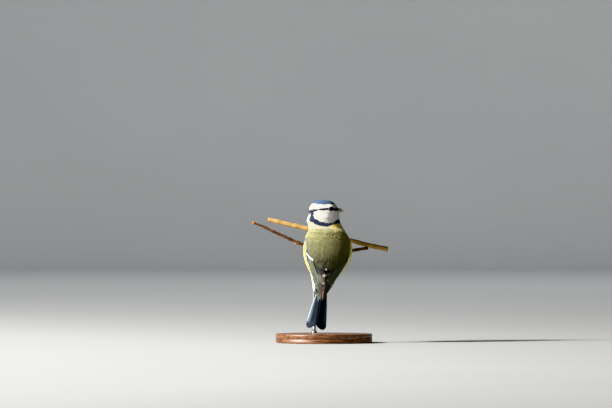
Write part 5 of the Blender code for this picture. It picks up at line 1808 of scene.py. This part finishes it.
# %% Twig lines and the grip of the feet
SIDE_TWIG = ((-60.0, 29.6, 103.6), (-53.9, 29.0, 101.4), (-38.3, 28.0, 93.9), (-18.0, 27.0, 85.2),
             (2.6, 26.6, 79.4), (13.9, 26.8, 78.8), (24.0, 27.4, 79.9), (33.0, 28.2, 81.4), (38.6, 28.8, 82.2))
SIDE_RADII = (0.8, 1.0, 1.15, 1.2, 1.25, 1.25, 1.3, 1.35, 1.4)
MAIN_TWIG = ((-48.7, 31.5, 107.2), (-38.3, 31.0, 104.8), (-14.2, 30.5, 99.0), (5.2, 30.5, 93.6),
             (24.4, 30.0, 88.6), (41.8, 29.5, 84.0), (56.0, 28.7, 81.2))
MAIN_RADII = (1.8, 1.8, 1.85, 1.9, 1.9, 2.0, 2.1)
FOOT_X = {"left": -2.2, "right": 9.0}
HIP_X = {"left": -3.2, "right": 5.8}
HEEL_Y, HEEL_Z, HEEL_SHARE = 18.4, 63.6, 0.6
TARSUS, TOE, CLAW = 0.74, 0.55, 0.33
TOE_SPREAD = 2.7

side_line = smooth_line(np.column_stack([SIDE_TWIG, SIDE_RADII]), 1.0)
main_line = smooth_line(np.column_stack([MAIN_TWIG, MAIN_RADII]), 1.0)


def line_at(line, x):
    i = int(np.clip(np.searchsorted(line[:, 0], x), 1, len(line) - 1))
    t = (x - line[i - 1, 0]) / (line[i, 0] - line[i - 1, 0])
    return mix(line[i - 1], line[i], t), unit((line[i] - line[i - 1])[:3])


def grip(side):
    """The twig's centre and axis at a foot, and a function that wraps round it."""
    at, axis_ = line_at(side_line, FOOT_X[side])
    centre = at[:3]
    heel = np.array([mix(HIP_X[side], FOOT_X[side], HEEL_SHARE), HEEL_Y, HEEL_Z])
    towards = heel - centre
    towards = unit(towards - axis_ * (towards @ axis_))
    over_ = np.cross(axis_, towards)
    over_ = over_ if over_[2] > 0 else -over_
    reach_ = at[3] + 0.40 + TOE

    def wrap(angle, offset, radius):
        return centre + axis_ * offset + (towards * math.cos(angle) + over_ * math.sin(angle)) * radius

    return heel, wrap, reach_


def toe_path(wrap, start, end, sideways, reach_, first, last, steps):
    points = []
    for i in range(steps + 1):
        t = mix(first, last, i / steps)
        claw = max(0.0, (t - 0.78) / 0.22)
        points.append(wrap(mix(start, end, t), sideways * float(ease(1.4 * t)), reach_ + 0.1 * (1 - 1.6 * claw)))
    return np.array(points)


def knuckled(path, thick, joints):
    t = np.linspace(0, 1, len(path))
    return thick * (1.0 - 0.12 * t + 0.13 * np.cos(2 * math.pi * joints * (t + 0.12)) ** 2)


def make_foot(side):
    heel, wrap, reach_ = grip(side)
    palm = wrap(0.0, 0.0, reach_ + 0.1)
    knots = [heel + unit(heel - palm) * 0.2, mix(heel, palm, 0.10), mix(heel, palm, 0.5), palm,
             wrap(0.35, 0.0, reach_)]
    radii_ = [TARSUS * s for s in (1.12, 1.10, 0.86, 1.12, 0.80)]
    line = smooth_line(np.column_stack([knots, radii_]), 0.28)

    def scutes(i, turn):
        front = max(0.0, math.cos(turn - 1.2))
        return 1 + 0.055 * front * (1 - (i * 0.28 / 1.3) % 1.0)

    pieces, claws = [tube("tarsus", line[:, :3], line[:, 3], 20, scutes)], []
    plans = [(-0.2, end, spread * TOE_SPREAD, TOE, 3) for spread, end in ((-1, 3.5), (0, 3.2), (1, 3.4))]
    plans.append((0.25, -2.35, 0.15, TOE * 1.1, 2))
    for start, end, sideways, thick, joints in plans:
        path = toe_path(wrap, start, end, sideways, reach_, 0.0, 0.84, 46)
        thickness = knuckled(path, thick, joints)
        thickness[-4:] *= (0.95, 0.86, 0.70, 0.45)
        pieces.append(tube("toe", path, thickness, 16, lambda i, turn: 1 + 0.035 * ((i / 2.2) % 1.0)))
        claw = toe_path(wrap, start, end * 1.04, sideways, reach_ - 0.02, 0.76, 1.0, 14)
        claws.append(tube("claw", claw, CLAW * (1 - np.linspace(0, 1, 15) ** 1.6 * 0.88), 12))
    return joined("foot_scaled_" + side, pieces), joined("claws_" + side, claws)


def scale_material():
    material, tree, shader = new_material("leg_scales", 0.5, Specular_IOR_Level=0.45)
    course = add_node(tree, "ShaderNodeSeparateXYZ", {0: attribute_of(tree, "course", "Vector")})
    step = maths(tree, "FRACT", maths(tree, "MULTIPLY", course.outputs[0], 0.78))
    seam = add_node(tree, "ShaderNodeMapRange", {"Value": step, "From Min": 0.0, "From Max": 0.16}).outputs[0]
    grain = noise(tree, 2400.0, 3.0, 0.6)
    tone = maths(tree, "MULTIPLY", seam, maths(tree, "ADD", maths(tree, "MULTIPLY", grain, 0.5), 0.5))
    colour = blend_colours(tree, tone, tuple(linear(38, 42, 50)) + (1,), tuple(linear(82, 90, 102)) + (1,))
    tree.links.new(colour, shader.inputs["Base Color"])
    raised(tree, shader, maths(tree, "ADD", seam, maths(tree, "MULTIPLY", grain, 0.3)), 0.6, 0.00010)
    return material


leg_scales = scale_material()
claw_horn = bare_skin_material("claw_horn", linear(50, 46, 44), 1400.0, 0.3)
for side in ("left", "right"):
    foot, claws = make_foot(side)
    hand_over(foot, "leg_scales", leg_scales, "foot_" + side)
    hand_over(claws, "leg_scales", claw_horn, "foot_" + side)

# %% [markdown]
# Short stiff bristles grow forwards from the bill's root, over the nostrils and along the gape. Each is a
# thin tapering tube with a slight bend, longest beside the gape.

# %% Bristles at the bill
BRISTLES = 8


def bristle(way, place):
    share = place / (BRISTLES - 1)
    root = (bill_back + bill_forward * 2.7 + bill_side * (way * mix(0.6, 1.85, share))
            + bill_up * mix(2.25, -0.1, share))
    reach_ = bill_forward * mix(1.6, 2.1, share) + bill_side * (way * 0.35) - bill_up * mix(0.1, 0.4, share)
    path = [root + reach_ * t + bill_up * (0.22 * math.sin(math.pi * t)) for t in np.linspace(0, 1, 7)]
    return tube("bristle", np.array(path), np.linspace(0.075, 0.018, 7), 8)


bristle_horn = bare_skin_material("bristle_horn", linear(22, 23, 30), 2600.0, 0.45)
bristles = joined("bristles", [bristle(way, place) for way in (1, -1) for place in range(BRISTLES)])
hand_over(bristles, "head_feathers", bristle_horn, "head")

# %% [markdown]
# The twigs are young wood with smooth bark, leaf scars and buds. The bark is never quite round, and it
# swells at each node. The cut ends are left raw, so their growth rings and pith show.

# %% Twigs
MAIN_NODES = ((-41.0, 0.16), (-25.0, 0.12), (-15.0, 0.15), (8.0, 0.06), (29.0, 0.13), (45.0, 0.12))
SIDE_NODES = ((-51.0, 0.30), (-44.0, 0.22), (-40.0, 0.26), (-34.5, 0.20), (-30.0, 0.28), (-22.0, 0.30), (18.0, 0.15),
              (29.0, 0.18))


def bark_line(line, nodes):
    radii_ = line[:, 3].copy()
    for x, swell in nodes:
        radii_ *= 1 + swell * np.exp(-((line[:, 0] - x) / 1.3) ** 2)
    return radii_


def twig(name, line, nodes, sides, seed):
    random = np.random.default_rng(seed)
    phases = random.uniform(0, 2 * math.pi, 6)

    def uneven(i, turn):
        x = line[i, 0]
        return (1 + 0.030 * math.sin(2 * turn + phases[0] + 0.06 * x)
                + 0.022 * math.sin(3 * turn + phases[1] - 0.11 * x)
                + 0.018 * math.sin(5 * turn + phases[2] + 0.31 * x) + 0.012 * math.sin(0.9 * x + phases[3]))

    return tube(name, line[:, :3], bark_line(line, nodes), sides, uneven)


def bark_material(name, dark, middle, light, specks):
    material, tree, shader = new_material(name, 0.72, Specular_IOR_Level=0.3)
    course = add_node(tree, "ShaderNodeSeparateXYZ", {0: attribute_of(tree, "course", "Vector")})
    place = add_node(tree, "ShaderNodeCombineXYZ",
                     {0: maths(tree, "MULTIPLY", course.outputs[0], 0.16),
                      1: maths(tree, "MULTIPLY", maths(tree, "SINE", maths(
                          tree, "MULTIPLY", course.outputs[1], 2 * math.pi)), 1.6),
                      2: maths(tree, "MULTIPLY", maths(tree, "COSINE", maths(
                          tree, "MULTIPLY", course.outputs[1], 2 * math.pi)), 1.6)}).outputs[0]
    streaks = noise(tree, 3.2, 5.0, 0.62, place)
    blotches = noise(tree, 190.0, 3.0, 0.55)
    spots_ = noise(tree, 1300.0, 2.0, 0.5)
    speck = add_node(tree, "ShaderNodeMapRange", {"Value": spots_, "From Min": 0.60, "From Max": 0.68}).outputs[0]
    ramp = add_node(tree, "ShaderNodeValToRGB", {"Fac": maths(
        tree, "ADD", maths(tree, "MULTIPLY", streaks, 0.62), maths(tree, "MULTIPLY", blotches, 0.38))})
    elements = ramp.color_ramp.elements
    elements[0].position, elements[0].color = 0.36, tuple(dark) + (1,)
    elements[1].position, elements[1].color = 0.64, tuple(light) + (1,)
    elements.new(0.50).color = tuple(middle) + (1,)
    colour = blend_colours(tree, maths(tree, "MULTIPLY", speck, 0.7), ramp.outputs[0], tuple(specks) + (1,))
    tree.links.new(colour, shader.inputs["Base Color"])
    height = maths(tree, "ADD", streaks, maths(tree, "MULTIPLY", speck, 0.35))
    raised(tree, shader, height, 0.7, 0.00035)
    return material


tan_bark = bark_material("tan_bark", linear(112, 84, 44), linear(176, 140, 84), linear(206, 176, 120),
                         linear(226, 206, 160))
dark_bark = bark_material("dark_bark", linear(38, 24, 14), linear(70, 44, 22), linear(112, 72, 36),
                          linear(150, 108, 66))
main_twig = twig("main_twig", main_line, MAIN_NODES, 30, 41)
hand_over(main_twig, "tan_bark", tan_bark, "perch_main")

# %% [markdown]
# Buds are scales wrapped round each other, pointed and leaning along the twig. A bud is modelled as a
# pointed body with overlapping scales as ridges that wind round it, rust brown with an orange tip.

# %% Buds and the side twig
BUDS = ((-60.0, 0.1, 3.4, 1.06), (-23.0, -0.9, 3.4, 0.95), (-44.0, 0.9, 3.0, 0.85), (-30.0, 0.8, 2.0, 0.6),
        (29.0, -0.8, 2.2, 0.7))


def bud(x, lean, long_, thick):
    at, along = line_at(side_line, x)
    way = unit(-along + np.array([0.0, -0.15, lean]))
    t = np.linspace(0, 1, 26)
    path = at[:3] + way * (t * long_ - 0.2)[:, None] + np.array([0, 0, 0.25]) * (t ** 2)[:, None]
    profile_ = thick * np.interp(t, (0, 0.18, 0.45, 0.75, 0.92, 1), (0.62, 0.92, 1.0, 0.66, 0.3, 0.06))

    def scales(i, turn):
        return 1 + 0.07 * ((t[i] * 3.2 + turn / (2 * math.pi) * 2) % 1.0) * (t[i] < 0.95)

    return tube("bud", path, profile_, 20, scales)


def bud_material():
    material, tree, shader = new_material("bud_scales", 0.5, Specular_IOR_Level=0.4)
    course = add_node(tree, "ShaderNodeSeparateXYZ", {0: attribute_of(tree, "course", "Vector")})
    grain = noise(tree, 900.0, 3.0, 0.6)
    share = maths(tree, "ADD", course.outputs[2], maths(tree, "MULTIPLY", grain, 0.35))
    ramp = add_node(tree, "ShaderNodeValToRGB", {"Fac": share})
    elements = ramp.color_ramp.elements
    elements[0].position, elements[0].color = 0.15, tuple(linear(74, 40, 20)) + (1,)
    elements[1].position, elements[1].color = 0.95, tuple(linear(168, 100, 36)) + (1,)
    elements.new(0.5).color = tuple(linear(122, 66, 26)) + (1,)
    tree.links.new(ramp.outputs[0], shader.inputs["Base Color"])
    raised(tree, shader, grain, 0.4, 0.0001)
    return material


side_twig = twig("side_twig", side_line, SIDE_NODES, 26, 42)
buds = joined("buds", [bud(*plan) for plan in BUDS])
hand_over(side_twig, "dark_bark", dark_bark, "perch_side")
hand_over(buds, "dark_bark", bud_material(), "perch_side")

# %% Cut ends
def cut_end(line, last):
    i, sign = (-1, 1) if last else (0, -1)
    place, radius = line[i, :3], line[i, 3]
    way = unit(line[-1, :3] - line[-3, :3]) if last else unit(line[0, :3] - line[2, :3])
    side, rings, count = unit(np.cross(way, [0, 0.3, 1.0])), 7, 32
    top = np.cross(way, side)
    points, rim = [place + way * 0.14], [0.0]
    for r in range(1, rings + 1):
        share = r / rings
        rise = 0.14 * (1 - share ** 4) - (0.25 if r == rings else 0)
        for k in range(count):
            turn = 2 * math.pi * k / count
            ray = side * math.cos(turn) + top * math.sin(turn)
            points.append(place + way * rise + ray * radius * 0.985 * min(share * 1.02, 1.0))
            rim.append(share)
    faces = [(0, 1 + k, 1 + (k + 1) % count) for k in range(count)]
    for r in range(rings - 1):
        base = 1 + r * count
        faces += [(base + k, base + count + k, base + count + (k + 1) % count, base + (k + 1) % count)
                  for k in range(count)]
    faces.append(tuple(range(1 + (rings - 1) * count, 1 + rings * count)))
    obj = mesh_object("cut_end", points, faces)
    put_attribute(obj, "ring", "FLOAT", rim)
    return outward(obj)


def cut_wood_material():
    material, tree, shader = new_material("cut_wood", 0.7)
    ring = attribute_of(tree, "ring", "Fac")
    wobble = maths(tree, "MULTIPLY", noise(tree, 500.0, 3.0), 0.12)
    wave = maths(tree, "SINE", maths(tree, "MULTIPLY", maths(tree, "ADD", ring, wobble), 26.0))
    wave = maths(tree, "ADD", maths(tree, "MULTIPLY", wave, 0.5), 0.5)
    wood = blend_colours(tree, wave, tuple(linear(196, 164, 110)) + (1,), tuple(linear(232, 210, 164)) + (1,))
    pith = add_node(tree, "ShaderNodeMapRange", {"Value": ring, "From Min": 0.12, "From Max": 0.20}).outputs[0]
    wood = blend_colours(tree, pith, tuple(linear(132, 96, 56)) + (1,), wood)
    bark = add_node(tree, "ShaderNodeMapRange", {"Value": ring, "From Min": 0.86, "From Max": 0.92}).outputs[0]
    tree.links.new(blend_colours(tree, bark, wood, tuple(linear(112, 84, 50)) + (1,)),
                   shader.inputs["Base Color"])
    raised(tree, shader, wave, 0.3, 0.0001)
    return material


cut_ends = joined("cut_ends", [cut_end(main_line, False), cut_end(main_line, True)])
hand_over(cut_ends, "tan_bark", cut_wood_material(), "perch_main")

# %% [markdown]
# The stand is a turned wooden disc and one steel rod that ends in a small cradle under the twig. The disc
# is spun from a drawn profile with softened edges and a shallow bead, as a turner would cut it.

# %% Stand
base_low, base_high = box_mm("stand_base")
BASE_RADIUS, BASE_TOP = (base_high[0] - base_low[0]) / 2, base_high[2]
ROD_X, ROD_RADIUS = -8.5, 1.5
CRADLE_OUTER, CRADLE_HALF = 2.75, 3.0


def turned(name, outline_points_, sides):
    rings = [[np.array([r * math.cos(a), r * math.sin(a), z]) for a in
              np.linspace(0, 2 * math.pi, sides, endpoint=False)] for r, z in outline_points_]
    points = [p for ring in rings for p in ring]
    faces = ring_faces(len(rings), sides)
    faces += [tuple(range(sides)), tuple(range(len(points) - sides, len(points)))]
    return outward(mesh_object(name, points, faces))


def base_outline():
    edge, top = 1.1, BASE_TOP
    points = [(2.0, 0.0), (BASE_RADIUS - 0.8, 0.0), (BASE_RADIUS - 0.2, 0.25), (BASE_RADIUS, 0.8)]
    points += [(BASE_RADIUS, 3.0), (BASE_RADIUS - 0.35, 3.3), (BASE_RADIUS - 0.35, 3.7), (BASE_RADIUS, 4.0)]
    points += [(BASE_RADIUS, top - edge)]
    for i in range(1, 9):
        a = math.radians(90 * i / 8)
        points.append((BASE_RADIUS - edge + edge * math.cos(a), top - edge + edge * math.sin(a)))
    return points + [(BASE_RADIUS - 3.0, top), (BASE_RADIUS - 3.5, top - 0.15), (BASE_RADIUS - 4.0, top),
                     (20.0, top), (2.0, top)]


def wood_material():
    material, tree, shader = new_material("base_wood", 0.42, Coat_Weight=0.35, Coat_Roughness=0.28)
    place = add_node(tree, "ShaderNodeTexCoord").outputs["Object"]
    moved = add_node(tree, "ShaderNodeMapping", {"Vector": place, "Scale": (16.0, 120.0, 160.0)}).outputs[0]
    figure = noise(tree, 1.0, 6.0, 0.62, moved)
    wave = maths(tree, "SINE", maths(tree, "MULTIPLY", figure, 42.0))
    grain = maths(tree, "ADD", maths(tree, "MULTIPLY", wave, 0.16), figure)
    pores = noise(tree, 1.0, 2.0, 0.5, add_node(
        tree, "ShaderNodeMapping", {"Vector": place, "Scale": (120.0, 2600.0, 2600.0)}).outputs[0])
    ramp = add_node(tree, "ShaderNodeValToRGB", {"Fac": grain})
    elements = ramp.color_ramp.elements
    elements[0].position, elements[0].color = 0.28, tuple(linear(66, 40, 24)) + (1,)
    elements[1].position, elements[1].color = 0.72, tuple(linear(134, 90, 56)) + (1,)
    elements.new(0.5).color = tuple(linear(102, 64, 38)) + (1,)
    dark = add_node(tree, "ShaderNodeMapRange", {"Value": pores, "From Min": 0.33, "From Max": 0.42}).outputs[0]
    colour = blend_colours(tree, dark, tuple(linear(44, 26, 16)) + (1,), ramp.outputs[0])
    tree.links.new(colour, shader.inputs["Base Color"])
    raised(tree, shader, maths(tree, "ADD", dark, maths(tree, "MULTIPLY", figure, 0.5)), 0.25, 0.0001)
    return material


def steel_material():
    material, tree, shader = new_material("rod_steel", 0.30, Metallic=1.0)
    place = add_node(tree, "ShaderNodeTexCoord").outputs["Object"]
    moved = add_node(tree, "ShaderNodeMapping", {"Vector": place, "Scale": (900.0, 900.0, 9000.0)}).outputs[0]
    brushed = noise(tree, 1.0, 3.0, 0.6, moved)
    colour = blend_colours(tree, brushed, tuple(linear(160, 162, 166)) + (1,), tuple(linear(206, 208, 210)) + (1,))
    tree.links.new(colour, shader.inputs["Base Color"])
    rough = add_node(tree, "ShaderNodeMapRange", {"Value": brushed, "To Min": 0.22, "To Max": 0.42}).outputs[0]
    tree.links.new(rough, shader.inputs["Roughness"])
    raised(tree, shader, brushed, 0.12, 0.00003)
    return material


disc = turned("turned_base", base_outline(), 192)
hand_over(disc, "base_wood", wood_material(), "stand_base")

at_rod, rod_axis = line_at(side_line, ROD_X)
rod_foot = np.array([at_rod[0], at_rod[1], BASE_TOP + 0.02])


def cradle():
    """A short gutter under the twig: an open ring section drawn along the twig's line."""
    side = unit(np.cross(rod_axis, [0, 0, 1.0]))
    top = np.cross(side, rod_axis)
    inner = at_rod[3] * 1.02 + 0.28
    section = [(CRADLE_OUTER * math.cos(a), CRADLE_OUTER * math.sin(a)) for a in
               np.linspace(math.radians(188), math.radians(352), 28)]
    middle = (CRADLE_OUTER + inner) / 2
    section += [(middle * math.cos(a) + 0.36 * math.cos(b), middle * math.sin(a) + 0.36 * math.sin(b))
                for a, b in ((math.radians(354), math.radians(60)), (math.radians(354), math.radians(120)))]
    section += [(inner * math.cos(a), inner * math.sin(a)) for a in
                np.linspace(math.radians(352), math.radians(188), 28)]
    section += [(middle * math.cos(a) + 0.36 * math.cos(b), middle * math.sin(a) + 0.36 * math.sin(b))
                for a, b in ((math.radians(186), math.radians(60)), (math.radians(186), math.radians(120)))]
    rings = []
    for along, shrink in ((-1.0, 0.94), (-0.93, 1.0), (0.93, 1.0), (1.0, 0.94)):
        centre = at_rod[:3] + rod_axis * along * CRADLE_HALF
        rings += [centre + side * x + top * (y * shrink - (1 - shrink) * middle) for x, y in section]
    count = len(section)
    faces = ring_faces(4, count)
    faces += [tuple(range(count)), tuple(range(3 * count, 4 * count))]
    return outward(mesh_object("cradle", rings, faces))


rod_top = at_rod[2] - CRADLE_OUTER + 0.5
rod_profile = [(0.6, rod_foot[2]), (2.6, rod_foot[2]), (2.7, rod_foot[2] + 0.15), (2.7, rod_foot[2] + 1.2),
               (2.4, rod_foot[2] + 1.5), (ROD_RADIUS, rod_foot[2] + 1.7), (ROD_RADIUS, rod_foot[2] + 12),
               (ROD_RADIUS, rod_top - 1.5), (ROD_RADIUS * 1.12, rod_top - 0.8), (ROD_RADIUS * 1.3, rod_top),
               (0.6, rod_top + 0.2)]
column = turned("rod", rod_profile, 48)
column.data.transform(Matrix.Translation(Vector((rod_foot[0], rod_foot[1], 0.0)) * MM))
steel = joined("rod_and_cradle", [column, cradle()])
hand_over(steel, "rod_steel", steel_material(), "stand_rod")


def sweep_material():
    material, tree, shader = new_material("paper_sweep", 0.9)
    grain = noise(tree, 3.0, 3.0, 0.5)
    colour = blend_colours(tree, grain, (0.33, 0.34, 0.35, 1), (0.36, 0.37, 0.38, 1))
    tree.links.new(colour, shader.inputs["Base Color"])
    return material


sweep.data.materials.append(sweep_material())

# %% Closing
for coat, slot, nodes in coats:
    hand_over(coat, slot, small_plumage, *nodes)
bpy.data.objects.remove(pattern_feather, do_unlink=True)
